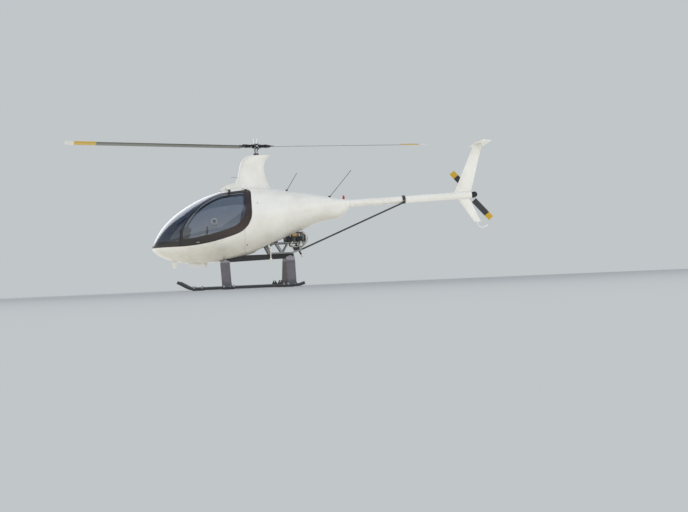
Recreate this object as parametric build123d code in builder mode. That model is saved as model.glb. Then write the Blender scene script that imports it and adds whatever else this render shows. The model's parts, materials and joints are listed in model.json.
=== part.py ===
"""Light helicopter with two seats side by side, a two-blade teetering rotor and skids.

Millimetres. +X runs aft, +Y to starboard and +Z up. The origin is on the ground, halfway between the
foremost and the rearmost point. Stations are measured aft from the mast, heights from the ground.
"""

import math
import os

from build123d import *

# Overall layout
MAST_X = -535.0  # the mast stands this far ahead of the origin
FIT = 0.3  # gap between pieces that seat in each other
RUN = 0.05  # radial clearance of a shaft or pin in its bearing
MAST_ROOM = 8.0  # air round the mast where it passes through a skin
FAR = 1000.0  # reach of a cut that goes right through

# Cabin and cowl: one smooth form, cut into pod, cowl, roof strip, windscreen and doors
WALL = 14.0
PANE = 6.0  # windscreen thickness
SEAM_X = -262.0  # joint between the pod and the rear cowl
ROOF_X = -610.0  # rear edge of the windscreen
ROOF_LOW_Z = 1450.0  # the roof strip takes nothing below this
FUSELAGE = (
    # station, lowest, highest, height of the widest line, half width
    (-1785, 700, 765, 730, 90),
    (-1710, 625, 915, 752, 250),
    (-1560, 545, 1118, 795, 385),
    (-1300, 478, 1338, 855, 500),
    (-900, 452, 1556, 940, 590),
    (-400, 530, 1692, 1020, 612),
    (100, 650, 1693, 1130, 545),
    (600, 865, 1606, 1245, 385),
    (1100, 1095, 1523, 1325, 210),
    (1550, 1308, 1452, 1380, 74),
)
BAY_EDGE = ((-85, 618), (0, 664), (860, 1012))  # upper edge of the open engine bay

# Doors: the opening's outline, the frame's bands and the window
DOOR_WALL = 10.0
DOOR_PANE = 5.0
DOOR_GAP = 8.0
SILL_Z = 730.0
DOOR_FRONT_X = -1320.0
DOOR_REAR_X = -130.0
SILL_MIDDLE = (-800.0, 786.0)
SILL_REAR = (-400.0, 896.0)
SILL_CORNER_Z = 996.0  # the sill's straight end would meet the rear edge here
REAR_CORNER_R = 380.0
DOOR_TOP_X = -610.0
DOOR_TOP_Z = 1605.0
DOOR_TOP_REAR_Z = 1652.0
TOP_CORNER_R = 60.0
BROW = (-1080.0, 1328.0)  # on the front edge, between its top and its pillar
PILLAR = (-1308.0, 980.0)
BAND = 36.0  # width of the frame along its top and front
BAND_LOW = 70.0  # more width along the sill
BAND_REAR = 58.0  # more width along the rear edge
WINDOW_CORNER_R = 28.0
VENT = (-751.0, 1115.0)
VENT_R = 50.0
VENT_RIM = 9.0
LATCH = (-1046.0, 789.0)
LATCH_L = 90.0
LATCH_H = 20.0
PROUD = 5.0  # height of rim and latch above the skin

# Door hinges: a pin along the roof, knuckles on the door
HINGE_Y = 238.0
HINGE_Z = 1672.0
HINGE_PIN_R = 4.0
KNUCKLE_R = 9.0
KNUCKLE_L = 36.0
HINGE_STATIONS = (-500.0, -230.0)
ROOF_LUG = ((-75, -37), (-60, 28), (0, 9), (0, -9))  # roof bracket: side and height from the pin
DOOR_LUG = ((0, -9), (0, 9), (44, 4), (80, -75), (56, -100), (36, -22))  # door bracket, likewise

# Mast fairing, its scoop and the pitot tube
FAIRING = (
    # height, front station, station of the widest line, rear station, half width
    (1600, -480, -60, 345, 170),
    (1650, -450, -70, 270, 160),
    (1700, -420, -80, 218, 148),
    (1780, -372, -90, 174, 122),
    (1900, -325, -90, 141, 104),
    (2040, -294, -85, 127, 95),
    (2130, -262, -65, 145, 92),
    (2200, -205, -35, 190, 88),
    (2240, -110, 20, 226, 74),
)
WELL_R = 50.0  # sunk well in the fairing's top, round the mast
WELL_Z = 2215.0
SCOOP_FRONT_X = -625.0
SCOOP_REAR_X = -250.0
SCOOP_HALF = 105.0
SCOOP_TOP_Z = 1775.0
SCOOP_LIP_Z = 1690.0
SCOOP_CREST = (-520.0, 1742.0)
SCOOP_WALL = 12.0
MOUTH_DEPTH = 190.0
MOUTH_RISE = 30.0
PITOT_Z = 1880.0
PITOT_R = 5.0
PITOT_START_X = -440.0
PITOT_END_X = -280.0

# Rotor head and blades
ROTOR_R = 3120.0
HUB_Z = 2400.0
MAST_R = 22.0
MAST_LOW_Z = 1340.0
ROTOR_AZIMUTH = 12.2
PRECONE = 1.0
BLADE_PITCH = 9.0
BLADE_CHORD = 185.0
BLADE_THICK = 22.0
BLADE_ROOT_R = 240.0
HUB_R = 34.0
HUB_DROP = 40.0
HUB_RISE = 30.0
BEAM_W = 44.0
BEAM_H = 40.0
CHEEK_Y = 44.0  # the teeter cheeks stand this far from the mast
CHEEK_T = 12.0
CHEEK_L = 84.0
CHEEK_H = 74.0
TEETER_R = 9.0
TEETER_HALF = 58.0
GRIP_R = 26.0
GRIP_START = 60.0
GRIP_END = 172.0
RING_R = 33.0
RING_L = 18.0
CUFF_W = 118.0
CUFF_H = 34.0
HORN_AT = 92.0
HORN_R = 8.0
HORN_END = (48.0, 74.0, -46.0)  # along the blade, ahead of it and down, from the hub's middle
LINK_R = 5.0
PLATE_R = 46.0
PLATE_Z = 2256.0
PLATE_T = 18.0
PRONG_GAP = 21.0
PRONG_H = 130.0
PRONG_W = 30.0
PRONG_T = 9.0
PRONG_LEAN = 8.0

# Boom, fins, tailplane and tail rotor
BOOM_R = 60.0
BOOM_X = 1550.0  # station where the boom leaves the cowl
BOOM_Z = 1380.0
BOOM_RISE = 2.2  # degrees
BOOM_END_X = 3700.0
COLLAR_L = 46.0
COLLAR_T = 7.0
UPPER_FIN = (
    # height, leading edge station, chord, thickness
    (1470, 3385, 300, 34),
    (2345, 3790, 145, 18),
)
LOWER_FIN = (
    # height, leading edge station, chord, thickness
    (990, 3735, 118, 16),
    (1460, 3420, 220, 30),
)
TAILPLANE_Z = UPPER_FIN[1][0]
TAILPLANE = (
    # distance from the middle, leading edge station, chord, thickness
    (0, 3785, 240, 30),
    (420, 3815, 182, 22),
)
TAIL_ROTOR_X = 3750.0
TAIL_ROTOR_R = 530.0
TAIL_ROTOR_Y = 170.0
TAIL_CHORD = 105.0
TAIL_THICK = 13.0
TAIL_SHAFT_R = 12.0
TAIL_SHAFT_START_Y = 35.0
TAIL_AZIMUTH = 48.0
TAIL_ROOT_R = 90.0
TAIL_GRIP_W = 44.0
TAIL_HUB_R = 30.0
TAIL_HUB_HALF = 20.0
TAIL_BOX_R = 50.0
TAIL_BOX_START_Y = -40.0
TAIL_BOX_END_Y = 60.0
TAIL_NECK_R = 26.0
TAIL_NECK_L = 30.0
TAIL_SOCKET_R = 46.0
BUMPER_R = 9.0
BUMPER_BEND = 35.0
BUMPER = ((3795, 0), (3800, -60), (3870, -108), (3975, -65))  # station, height from the fin's tip

# Skids, legs, cross tubes and wear shoes
HALF_TRACK = 760.0
SKID_R = 25.0
SHOE_Z = 8.0
SKID_Z = SHOE_Z + SKID_R
SKID_TIP = (-1375.0, 150.0)
SKID_BEND_X = -1170.0
SKID_STRAIGHT_X = 575.0
SKID_TAIL = (665.0, 62.0)
SKID_BENDS = (260.0, 100.0)
CROSS_R = 22.0
CROSS_END_Y = 400.0
LEGS = (
    # station of the head, station of the foot, height of the cross tube
    (-600, -580, 462),
    (476, 464, 492),
)
LEG_HEAD_CHORD = 150.0
LEG_FOOT_CHORD = 138.0
LEG_THICK = 44.0
SOCKET_R = 31.0
SOCKET_IN = 34.0
SOCKET_OUT = 14.0
SHOE_STATIONS = (-1050.0, -560.0, 400.0)
SHOE_L = 180.0
SHOE_W = 44.0
SHOE_GRASP = 16.0
BRACKET_X = 270.0
BRACKET_Z = 100.0
BRACKET_BORE_R = 10.0
BRACKET_HALF = 16.0
BRACKET_FOOT = 45.0  # half length at the skid
BRACKET_HEAD = 20.0  # half length at the top
BRACKET_SHOULDER = 32.0
BRACKET_TOP = 18.0  # wall over the bore

# Keel, floor and bulkhead
KEEL_HALF = 90.0
KEEL_TOP = 560.0
KEEL_FRONT_X = -760.0
KEEL_REAR_X = 560.0
KEEL_NOSE_Z = 500.0
KEEL_TAIL_Z = 496.0
KEEL_DROP = 8.0  # underside below the cross tubes' centres
FLOOR_T = 12.0
FLOOR_FRONT_X = -1600.0
FLOOR_Z = KEEL_TOP + FLOOR_T
BULKHEAD_X = -110.0
BULKHEAD_T = 15.0

# Seats and flying controls
SEAT_Y = 270.0
SEAT_HALF = 215.0
SEAT_X = -290.0  # where pan and back meet
SEAT_Z = 800.0
SEAT_L = 440.0
SEAT_DROP = 30.0  # the pan falls this much towards the rear
SEAT_BACK_H = 560.0
SEAT_RAKE = 105.0
SEAT_SHELL = 25.0
BOLSTER = 15.0  # shell left bare each side of a cushion
CUSHION = 70.0
POD_HALF = 150.0
POD_PROFILE = ((-1330, 0), (-1352, 330), (-1325, 455), (-1190, 498), (-1140, 462), (-1200, 250), (-1210, 0))
POD_EDGE_R = 12.0
STICK_X = -900.0
STICK_TOP = (-880.0, 940.0)
GRIP_TOP = (-865.0, 1050.0)
STICK_R = 12.0
STICK_GRIP_R = 18.0
STICK_BOOT_R = 30.0
STICK_BOOT_H = 40.0
PEDAL_Y = 180.0
PEDAL_SPREAD = 55.0
PEDAL_FOOT_X = -1400.0
PEDAL_FOOT_R = 14.0
PEDAL_FOOT_H = 24.0
PEDAL_ARM_R = 8.0
PEDAL_TOP = (-1440.0, 730.0)
PEDAL_PAD = (70.0, 90.0, 8.0)
LEVER_FOOT_X = -500.0
LEVER_KNEE_Z = 650.0
LEVER_TIP = (-850.0, 840.0)
LEVER_FOOT_R = 14.0
LEVER_R = 9.0
LEVER_GRIP_R = 15.0
LEVER_GRIP_START = 0.62  # share of the arm that is bare

# Truss and struts
TUBE_R = 12.0
TRUSS_Y = 190.0
DECK_Z = KEEL_TOP + TUBE_R
BEARER_Z = 740.0
FEET_Z = BEARER_Z + TUBE_R
TRUSS_FRONT_X = 140.0
TRUSS_REAR_X = 520.0
BEARER_FRONT_X = 200.0
BEARER_REAR_X = 750.0
VEE_FOOT_X = 370.0
VEE_HEADS = (270.0, 470.0)
BRACE_X = 620.0
PYLON_Y = 140.0
PYLON_STATIONS = (-40.0, 80.0)
STRUT_X = 690.0
STRUT_Y = 150.0
STRUT_Z = 620.0
STRUT_BALL_R = 18.0
STRUT_R = 14.0
CLAMP_X = 2500.0
CLAMP_L = 50.0
CLAMP_T = 12.0
CLAMP_Y = 45.0
CLAMP_DROP = 50.0
POST_X = 166.0
POST_LOW_Z = 408.0
POST_TOP_Z = 690.0
POST_R = 9.0

# Gearbox, engine, radiator and exhaust
GEARBOX_FRONT_X = -80.0
GEARBOX_REAR_X = 120.0
GEARBOX_LOW_Z = 955.0
GEARBOX_TOP_Z = 1420.0
GEARBOX_HALF = 110.0
BEARING_R = 45.0
BEARING_TOP_Z = 1560.0
ENGINE_X = 580.0
ENGINE_Z = 796.0
CASE_L = 340.0
CASE_HALF = 100.0
CASE_H = 170.0
CASE_EDGE = 14.0
FOOT_SPREAD = 150.0
FOOT_W = 40.0
FOOT_T = 12.0
CYLINDER_SPREAD = 75.0
BARREL_R = 38.0
COOLING_START_Y = 118.0
COOLING_STEP = 11.0
COOLING_COUNT = 8
COOLING_T = 4.0
COOLING_L = 104.0
COOLING_H = 78.0
COOLING_CORNER = 14.0
HEAD_Y = 220.0
HEAD_HALF = 17.0
HEAD_L = 94.0
HEAD_H = 72.0
STARTER_R = 60.0
STARTER_L = 56.0
STARTER_RISE = 20.0
RADIATOR_X = 262.0
RADIATOR_T = 46.0
RADIATOR_HALF = 150.0
RADIATOR_H = 190.0
RADIATOR_BASE = 16.0
TANK_W = 32.0
TANK_T = 60.0
MUFFLER_X = 610.0
MUFFLER_Z = 655.0
MUFFLER_R = 48.0
MUFFLER_HALF = 110.0
HANGER_T = 20.0
HANGER_W = 60.0
EXHAUST_R = 17.0
EXHAUST_BEND = 20.0
EXHAUST = ((715, -95, 906), (715, -150, 906), (775, -150, 870), (775, -118, 740), (705, -80, 665))
TAILPIPE_R = 15.0
TAILPIPE = ((640, 60, 655), (720, 80, 510))

# Aerials, beacon and belly fittings
WHIP_R = 4.0
WHIP_FOOT_R = 18.0
WHIP_FOOT_H = 20.0
WHIPS = (
    # foot (station, height), tip (station, height)
    ((490, 1628), (675, 1925)),
    ((1220, 1500), (1610, 1950)),
)
BEACON_X = 1460.0
BEACON_R = 20.0
BEACON_Z = 1500.0
BEACON_H = 80.0
BELLY_BLADES = (
    # upper edge stations, lower edge stations, upper height, lower height
    ((-1490, -1370), (-1462, -1412), 530, 388),
    ((-965, -880), (-935, -905), 480, 360),
)
BELLY_BLADE_T = 12.0
BLISTER = ((-1205, 475), (-1188, 402), (-1010, 392), (-945, 475))
BLISTER_HALF = 60.0

BOOM_DIR = Vector(math.cos(math.radians(BOOM_RISE)), 0, math.sin(math.radians(BOOM_RISE)))
SIDE = Plane(origin=(MAST_X, 0, 0), x_dir=(1, 0, 0), z_dir=(0, -1, 0))  # seen from port: station, height
HALVES = (-1, 1)


def deck(height):
    """A level plane at a height, its origin on the mast."""
    return Plane(origin=(MAST_X, 0, height), x_dir=(1, 0, 0), z_dir=(0, 0, 1))


def frame_at(station):
    """A cross plane at a station, seen from behind: local X is starboard, local Y is up."""
    return Plane(origin=(MAST_X + station, 0, 0), x_dir=(0, 1, 0), z_dir=(1, 0, 0))


def boom_z(station):
    """Height of the boom's centre line at a station."""
    return BOOM_Z + (station - BOOM_X) * math.tan(math.radians(BOOM_RISE))


def point(station, y, z):
    """A point given by its station, side and height."""
    return Vector(MAST_X + station, y, z)


def abeam(station, y, z):
    """A plane that faces starboard: local X runs aft, local Y runs down."""
    return Plane(origin=point(station, y, z), x_dir=(1, 0, 0), z_dir=(0, 1, 0))


def boom_plane(station):
    """The plane across the boom at a station."""
    return Plane(origin=point(station, 0, boom_z(station)), z_dir=BOOM_DIR)


def tail_plane(y):
    """The plane across the tail rotor's shaft at a side position."""
    return abeam(TAIL_ROTOR_X, y, boom_z(TAIL_ROTOR_X))


def blade_plane(turn, radius):
    """The plane across a main blade at a radius, coned and pitched: local X runs from nose to tail."""
    root = deck(HUB_Z).rotated((0, 0, ROTOR_AZIMUTH + turn))
    cone = math.radians(PRECONE)
    pitch = math.radians(BLADE_PITCH)
    along = root.x_dir * math.cos(cone) + root.z_dir * math.sin(cone)
    nose = root.y_dir * math.cos(pitch) + along.cross(root.y_dir) * math.sin(pitch)
    return Plane(origin=root.origin + along * radius, x_dir=nose * -1, z_dir=along)


def fuselage(inset):
    """The smooth outer form of cabin, cowl and tail cone, shrunk by an inset all round."""
    with BuildPart() as form:
        for station, low, high, wide, half in FUSELAGE:
            with BuildSketch(frame_at(station)):
                with BuildLine():
                    EllipticalCenterArc((0, wide), half - inset, high - wide - inset, 0, arc_size=180)
                    EllipticalCenterArc((0, wide), half - inset, wide - low - inset, 180, arc_size=180)
                make_face()
        loft()
    return form.part


def rod(start, end, radius):
    """A round bar between two points."""
    with BuildPart() as bar:
        with BuildSketch(Plane(origin=start, z_dir=end - start)):
            Circle(radius)
        extrude(amount=(end - start).length)
    return bar.part


def pipe(points, radius, bend):
    """A round bar along straight runs joined by bends."""
    with BuildPart() as bar:
        with BuildLine() as path:
            FilletPolyline(*points, radius=bend)
        with BuildSketch(Plane(origin=path.line @ 0, z_dir=path.line % 0)):
            Circle(radius)
        sweep()
    return bar.part


def blade_sketch(chord, thick, flat=False):
    """A blade section, quarter chord at the origin, nose towards -X: elliptic nose, straight taper behind."""
    nose = 0.3 * chord
    crown = 0.05 * chord
    end = 0.75 * chord
    tail = 0.05 * thick
    low = 0.0 if flat else -thick / 2
    top = low + thick
    with BuildSketch(mode=Mode.PRIVATE) as section:
        with BuildLine():
            if flat:
                Polyline((crown - nose, 0), (end, 0), (end, 2 * tail), (crown, top))
                EllipticalCenterArc((crown, 0), nose, top, 90, arc_size=90)
            else:
                EllipticalCenterArc((crown, 0), nose, top, 90, arc_size=180)
                Polyline((crown, low), (end, -tail), (end, tail), (crown, top))
        make_face()
    return section.sketch


def sill_line():
    """The lower edge of the glazing, from the door's front corner to its rear edge."""
    ThreePointArc((DOOR_FRONT_X, SILL_Z), SILL_MIDDLE, SILL_REAR)
    Line(SILL_REAR, (DOOR_REAR_X, SILL_CORNER_Z))


def aperture_sketch(inset):
    """The door opening seen from the side, shrunk by an inset."""
    with BuildSketch(mode=Mode.PRIVATE) as outline:
        with BuildLine():
            sill_line()
            Polyline((DOOR_REAR_X, SILL_CORNER_Z), (DOOR_REAR_X, DOOR_TOP_REAR_Z), (DOOR_TOP_X, DOOR_TOP_Z))
            ThreePointArc((DOOR_TOP_X, DOOR_TOP_Z), BROW, PILLAR)
            Line(PILLAR, (DOOR_FRONT_X, SILL_Z))
        make_face()
        fillet(outline.vertices().sort_by_distance((DOOR_REAR_X, SILL_CORNER_Z, 0))[0], REAR_CORNER_R)
        fillet(outline.vertices().sort_by_distance((DOOR_REAR_X, DOOR_TOP_REAR_Z, 0))[0], TOP_CORNER_R)
        if inset:
            offset(amount=-inset, kind=Kind.INTERSECTION)
    return outline.sketch


def on_side(side):
    """Everything on one side of the plane of symmetry, as a block to intersect with."""
    with BuildPart() as block:
        with BuildSketch(SIDE):
            Rectangle(6 * FAR, 6 * FAR)
        extrude(amount=-side * FAR)
    return block.part


def side_profile(points, half, y=0.0):
    """A side profile, as stations and heights, extruded to both sides of a vertical plane."""
    with BuildPart() as profile:
        with BuildSketch(SIDE.offset(-y)):
            with BuildLine():
                Polyline(*points, close=True)
            make_face()
        extrude(amount=half, both=True)
    return profile.part


def seat_pair(points, half):
    """One side profile at both seats, its points measured from where pan and back meet."""
    placed = [(SEAT_X + x, SEAT_Z + z) for x, z in points]
    with BuildPart() as pair:
        for side in HALVES:
            add(side_profile(placed, half, side * SEAT_Y))
    return pair.part


def lug(points, side, station, length):
    """A hinge bracket with its round knuckle: points are side and height from the pin."""
    with BuildPart() as bracket:
        with BuildSketch(frame_at(station)):
            with BuildLine():
                Polyline(*((side * (HINGE_Y + y), HINGE_Z + z) for y, z in points), close=True)
            make_face()
            with Locations((side * HINGE_Y, HINGE_Z)):
                Circle(KNUCKLE_R)
        extrude(amount=length)
    return bracket.part


def vent_ring(outer, inner):
    """A ring across the cabin where the door glass has its round vent."""
    with BuildPart() as ring:
        with BuildSketch(SIDE):
            with Locations(VENT):
                Circle(outer)
                Circle(inner, mode=Mode.SUBTRACT)
        extrude(amount=FAR, both=True)
    return ring.part


outer_form = fuselage(0)
wall_form = fuselage(WALL)
room_form = fuselage(WALL + FIT)
pane_form = fuselage(PANE)
door_wall_form = fuselage(DOOR_WALL)
door_pane_form = fuselage(DOOR_PANE)
seat_form = fuselage(-FIT)
proud_form = fuselage(-PROUD)

# Prisms across the cabin: all glazing, the door opening, the door's panel and its window
with BuildPart() as glazing_prism:
    with BuildSketch(SIDE) as glazing_outline:
        with BuildLine():
            Line((DOOR_FRONT_X - FAR, SILL_Z), (DOOR_FRONT_X, SILL_Z))
            sill_line()
            Polyline(
                (DOOR_REAR_X, SILL_CORNER_Z),
                (DOOR_REAR_X, SILL_CORNER_Z + FAR),
                (DOOR_FRONT_X - FAR, SILL_CORNER_Z + FAR),
                (DOOR_FRONT_X - FAR, SILL_Z),
            )
        make_face()
        rear_corner = glazing_outline.vertices().sort_by_distance((DOOR_REAR_X, SILL_CORNER_Z, 0))[0]
        fillet(rear_corner, REAR_CORNER_R)
    extrude(amount=FAR, both=True)

with BuildPart() as opening_prism:
    with BuildSketch(SIDE):
        add(aperture_sketch(0))
    extrude(amount=FAR, both=True)

with BuildPart() as panel_prism:
    with BuildSketch(SIDE):
        add(aperture_sketch(DOOR_GAP))
    extrude(amount=FAR, both=True)

with BuildPart() as window_prism:
    with BuildSketch(SIDE) as window_outline:
        add(aperture_sketch(DOOR_GAP + BAND))
        with Locations((-BAND_REAR, BAND_LOW)):
            add(aperture_sketch(DOOR_GAP + BAND), mode=Mode.INTERSECT)
        corners = window_outline.vertices()
        front_corner = corners.sort_by_distance((DOOR_FRONT_X, SILL_Z, 0))[0]
        rear_corner = corners.sort_by_distance((DOOR_REAR_X, DOOR_TOP_REAR_Z, 0))[0]
        fillet([front_corner, rear_corner], WINDOW_CORNER_R)
    extrude(amount=FAR, both=True)

with BuildPart() as keel_slot:
    slot = (
        (KEEL_FRONT_X - FIT, 0),
        (KEEL_REAR_X + FIT, 0),
        (KEEL_REAR_X + FIT, KEEL_TOP + FIT),
        (KEEL_FRONT_X - FIT, KEEL_TOP + FIT),
    )
    add(side_profile(slot, KEEL_HALF + FIT))


def door_frame(side):
    """A door's frame ring with its latch handle and two hinge brackets."""
    with BuildPart() as handle:
        with BuildSketch(SIDE):
            with Locations(LATCH):
                SlotOverall(LATCH_L, LATCH_H)
        extrude(amount=-side * FAR)
        add(proud_form, mode=Mode.INTERSECT)
    with BuildPart() as frame:
        add(outer_form)
        add(panel_prism, mode=Mode.INTERSECT)
        add(on_side(side), mode=Mode.INTERSECT)
        add(handle)
        for station in HINGE_STATIONS:
            add(lug(DOOR_LUG, side, station, KNUCKLE_L))
            start = point(station - FIT, side * HINGE_Y, HINGE_Z)
            end = point(station + KNUCKLE_L + FIT, side * HINGE_Y, HINGE_Z)
            add(rod(start, end, HINGE_PIN_R + RUN), mode=Mode.SUBTRACT)
        add(door_wall_form, mode=Mode.SUBTRACT)
        add(window_prism, mode=Mode.SUBTRACT)
    return frame.part


def door_pane(side):
    """A door's glass, seated edge to edge in the frame's window, with the round light of its vent."""
    with BuildPart() as pane:
        add(outer_form)
        add(door_pane_form, mode=Mode.SUBTRACT)
        add(window_prism, mode=Mode.INTERSECT)
        add(on_side(side), mode=Mode.INTERSECT)
        add(vent_ring(VENT_R + FIT, VENT_R - VENT_RIM - FIT), mode=Mode.SUBTRACT)
    return pane.part


def door_vent(side):
    """The rim of a door's round vent."""
    with BuildPart() as rim:
        add(proud_form)
        add(door_wall_form, mode=Mode.SUBTRACT)
        add(vent_ring(VENT_R, VENT_R - VENT_RIM), mode=Mode.INTERSECT)
        add(on_side(side), mode=Mode.INTERSECT)
    return rim.part


# Lower pod of the cabin
with BuildPart() as cabin_shell:
    add(outer_form)
    add(wall_form, mode=Mode.SUBTRACT)
    with BuildSketch(frame_at(SEAM_X)):
        Rectangle(4 * FAR, 4 * FAR)
    extrude(amount=-2 * FAR, mode=Mode.INTERSECT)
    add(glazing_prism, mode=Mode.SUBTRACT)
    add(keel_slot, mode=Mode.SUBTRACT)

# Rear cowl, open below at the engine bay
with BuildPart() as rear_cowl:
    add(outer_form)
    add(wall_form, mode=Mode.SUBTRACT)
    with BuildSketch(frame_at(SEAM_X)):
        Rectangle(4 * FAR, 4 * FAR)
    extrude(amount=BOOM_X - SEAM_X, mode=Mode.INTERSECT)
    add(glazing_prism, mode=Mode.SUBTRACT)
    add(keel_slot, mode=Mode.SUBTRACT)
    bay = side_profile(((BAY_EDGE[0][0], 0), *BAY_EDGE, (BAY_EDGE[-1][0], 0)), FAR)
    add(bay, mode=Mode.SUBTRACT)
    with BuildSketch(boom_plane(BOOM_X)):
        Circle(BOOM_R + FIT)
    extrude(amount=FAR / 5, both=True, mode=Mode.SUBTRACT)
    with BuildSketch(deck(BEARING_TOP_Z)):
        Circle(MAST_R + MAST_ROOM)
    extrude(amount=FAR, mode=Mode.SUBTRACT)

# Roof strip between the doors, with the hinge brackets
with BuildPart() as roof_spine:
    add(outer_form)
    roof = ((ROOF_X, ROOF_LOW_Z), (DOOR_REAR_X, ROOF_LOW_Z), (DOOR_REAR_X, 2 * FAR), (ROOF_X, 2 * FAR))
    add(side_profile(roof, FAR), mode=Mode.INTERSECT)
    add(opening_prism, mode=Mode.SUBTRACT)
    for station in HINGE_STATIONS:
        for side in HALVES:
            add(lug(ROOF_LUG, side, station - KNUCKLE_L, KNUCKLE_L - 1))
            start = point(station - KNUCKLE_L, side * HINGE_Y, HINGE_Z)
            add(rod(start, point(station + KNUCKLE_L, side * HINGE_Y, HINGE_Z), HINGE_PIN_R))
    add(wall_form, mode=Mode.SUBTRACT)

# Windscreen: one pane that wraps over the nose
with BuildPart() as windscreen:
    add(outer_form)
    add(pane_form, mode=Mode.SUBTRACT)
    add(glazing_prism, mode=Mode.INTERSECT)
    add(opening_prism, mode=Mode.SUBTRACT)
    with BuildSketch(frame_at(ROOF_X)):
        Rectangle(4 * FAR, 4 * FAR)
    extrude(amount=-2 * FAR, mode=Mode.INTERSECT)

# Gull-wing doors
with BuildPart() as door_frame_left:
    add(door_frame(-1))

with BuildPart() as door_pane_left:
    add(door_pane(-1))

with BuildPart() as door_vent_left:
    add(door_vent(-1))

with BuildPart() as door_frame_right:
    add(door_frame(1))

with BuildPart() as door_pane_right:
    add(door_pane(1))

with BuildPart() as door_vent_right:
    add(door_vent(1))

# Mast fairing with its flat lipped top, and the scoop ahead of it
with BuildPart() as mast_fairing:
    for height, front, middle, rear, half in FAIRING:
        with BuildSketch(deck(height)):
            with BuildLine():
                EllipticalCenterArc((middle, 0), middle - front, half, 90, arc_size=180)
                EllipticalCenterArc((middle, 0), rear - middle, half, 270, arc_size=180)
            make_face()
    loft()
    with BuildSketch(SIDE):
        with BuildLine():
            Polyline(
                (SCOOP_REAR_X, SCOOP_TOP_Z),
                (SCOOP_REAR_X, FAIRING[0][0]),
                (SCOOP_FRONT_X, FAIRING[0][0]),
                (SCOOP_FRONT_X, SCOOP_LIP_Z),
            )
            ThreePointArc((SCOOP_FRONT_X, SCOOP_LIP_Z), SCOOP_CREST, (SCOOP_REAR_X, SCOOP_TOP_Z))
        make_face()
    extrude(amount=SCOOP_HALF, both=True)
    mouth = (
        (SCOOP_FRONT_X - 1, FAIRING[0][0] - 1),
        (SCOOP_FRONT_X - 1, SCOOP_LIP_Z - SCOOP_WALL),
        (SCOOP_FRONT_X + MOUTH_DEPTH, SCOOP_LIP_Z - SCOOP_WALL + MOUTH_RISE),
        (SCOOP_FRONT_X + MOUTH_DEPTH, FAIRING[0][0] - 1),
    )
    add(side_profile(mouth, SCOOP_HALF - SCOOP_WALL), mode=Mode.SUBTRACT)
    add(seat_form, mode=Mode.SUBTRACT)
    with BuildSketch(deck(BEARING_TOP_Z)):
        Circle(MAST_R + MAST_ROOM)
    extrude(amount=FAR, mode=Mode.SUBTRACT)
    with BuildSketch(deck(WELL_Z)):
        Circle(WELL_R)
    extrude(amount=FAR, mode=Mode.SUBTRACT)
    pitot_end = point(PITOT_END_X + FIT, 0, PITOT_Z)
    add(rod(point(PITOT_START_X, 0, PITOT_Z), pitot_end, PITOT_R + FIT), mode=Mode.SUBTRACT)

with BuildPart() as pitot_tube:
    add(rod(point(PITOT_START_X, 0, PITOT_Z), point(PITOT_END_X, 0, PITOT_Z), PITOT_R))

# Keel beam under the cabin, notched round the cross tubes
with BuildPart() as keel_beam:
    underside = [(head, height - KEEL_DROP) for head, foot, height in LEGS]
    nose = ((KEEL_FRONT_X, KEEL_TOP), (KEEL_FRONT_X, KEEL_NOSE_Z))
    tail = ((KEEL_REAR_X, KEEL_TAIL_Z), (KEEL_REAR_X, KEEL_TOP))
    add(side_profile((*nose, *underside, *tail), KEEL_HALF))
    for head, foot, height in LEGS:
        with BuildSketch(SIDE):
            with Locations((head, height)):
                Rectangle(2 * (CROSS_R + FIT), 2 * (CROSS_R + FIT))
        extrude(amount=FAR, both=True, mode=Mode.SUBTRACT)

# Cabin floor and rear bulkhead, trimmed to the room inside the wall
with BuildPart() as cabin_floor:
    with BuildSketch(deck(KEEL_TOP)):
        with Locations(((FLOOR_FRONT_X + BULKHEAD_X) / 2, 0)):
            Rectangle(BULKHEAD_X - FLOOR_FRONT_X, 2 * FAR)
    extrude(amount=FLOOR_T)
    add(room_form, mode=Mode.INTERSECT)

with BuildPart() as rear_bulkhead:
    with BuildSketch(frame_at(BULKHEAD_X)):
        with Locations((0, KEEL_TOP + FAR)):
            Rectangle(2 * FAR, 2 * FAR)
    extrude(amount=BULKHEAD_T)
    add(room_form, mode=Mode.INTERSECT)

# Seats side by side: shells on their boxes, with two cushions each
with BuildPart() as seat_shells:
    shell = (
        (40 - SEAT_L, FLOOR_Z - SEAT_Z),
        (-SEAT_L, 0),
        (0, -SEAT_DROP),
        (SEAT_RAKE, SEAT_BACK_H),
        (SEAT_RAKE + SEAT_SHELL, SEAT_BACK_H),
        (60, FLOOR_Z - SEAT_Z),
    )
    add(seat_pair(shell, SEAT_HALF))
    add(room_form, mode=Mode.INTERSECT)

with BuildPart() as seat_cushions:
    pad = ((-SEAT_L, FIT), (-SEAT_L, CUSHION), (10, CUSHION - 20), (-5, 1 - SEAT_DROP))
    add(seat_pair(pad, SEAT_HALF - BOLSTER))

with BuildPart() as back_cushions:
    pad = ((13, CUSHION - 19), (-50, CUSHION - 13), (45, SEAT_BACK_H - 8), (SEAT_RAKE - 2, SEAT_BACK_H - 8))
    add(seat_pair(pad, SEAT_HALF - BOLSTER))

# Instrument pod on the floor ahead of the seats
with BuildPart() as instrument_pod:
    with BuildSketch(SIDE) as pod_outline:
        with BuildLine():
            Polyline(*((x, FLOOR_Z + z) for x, z in POD_PROFILE), close=True)
        make_face()
        fillet(pod_outline.vertices().group_by(Axis.Y)[-1], POD_EDGE_R)
    extrude(amount=POD_HALF, both=True)

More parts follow.
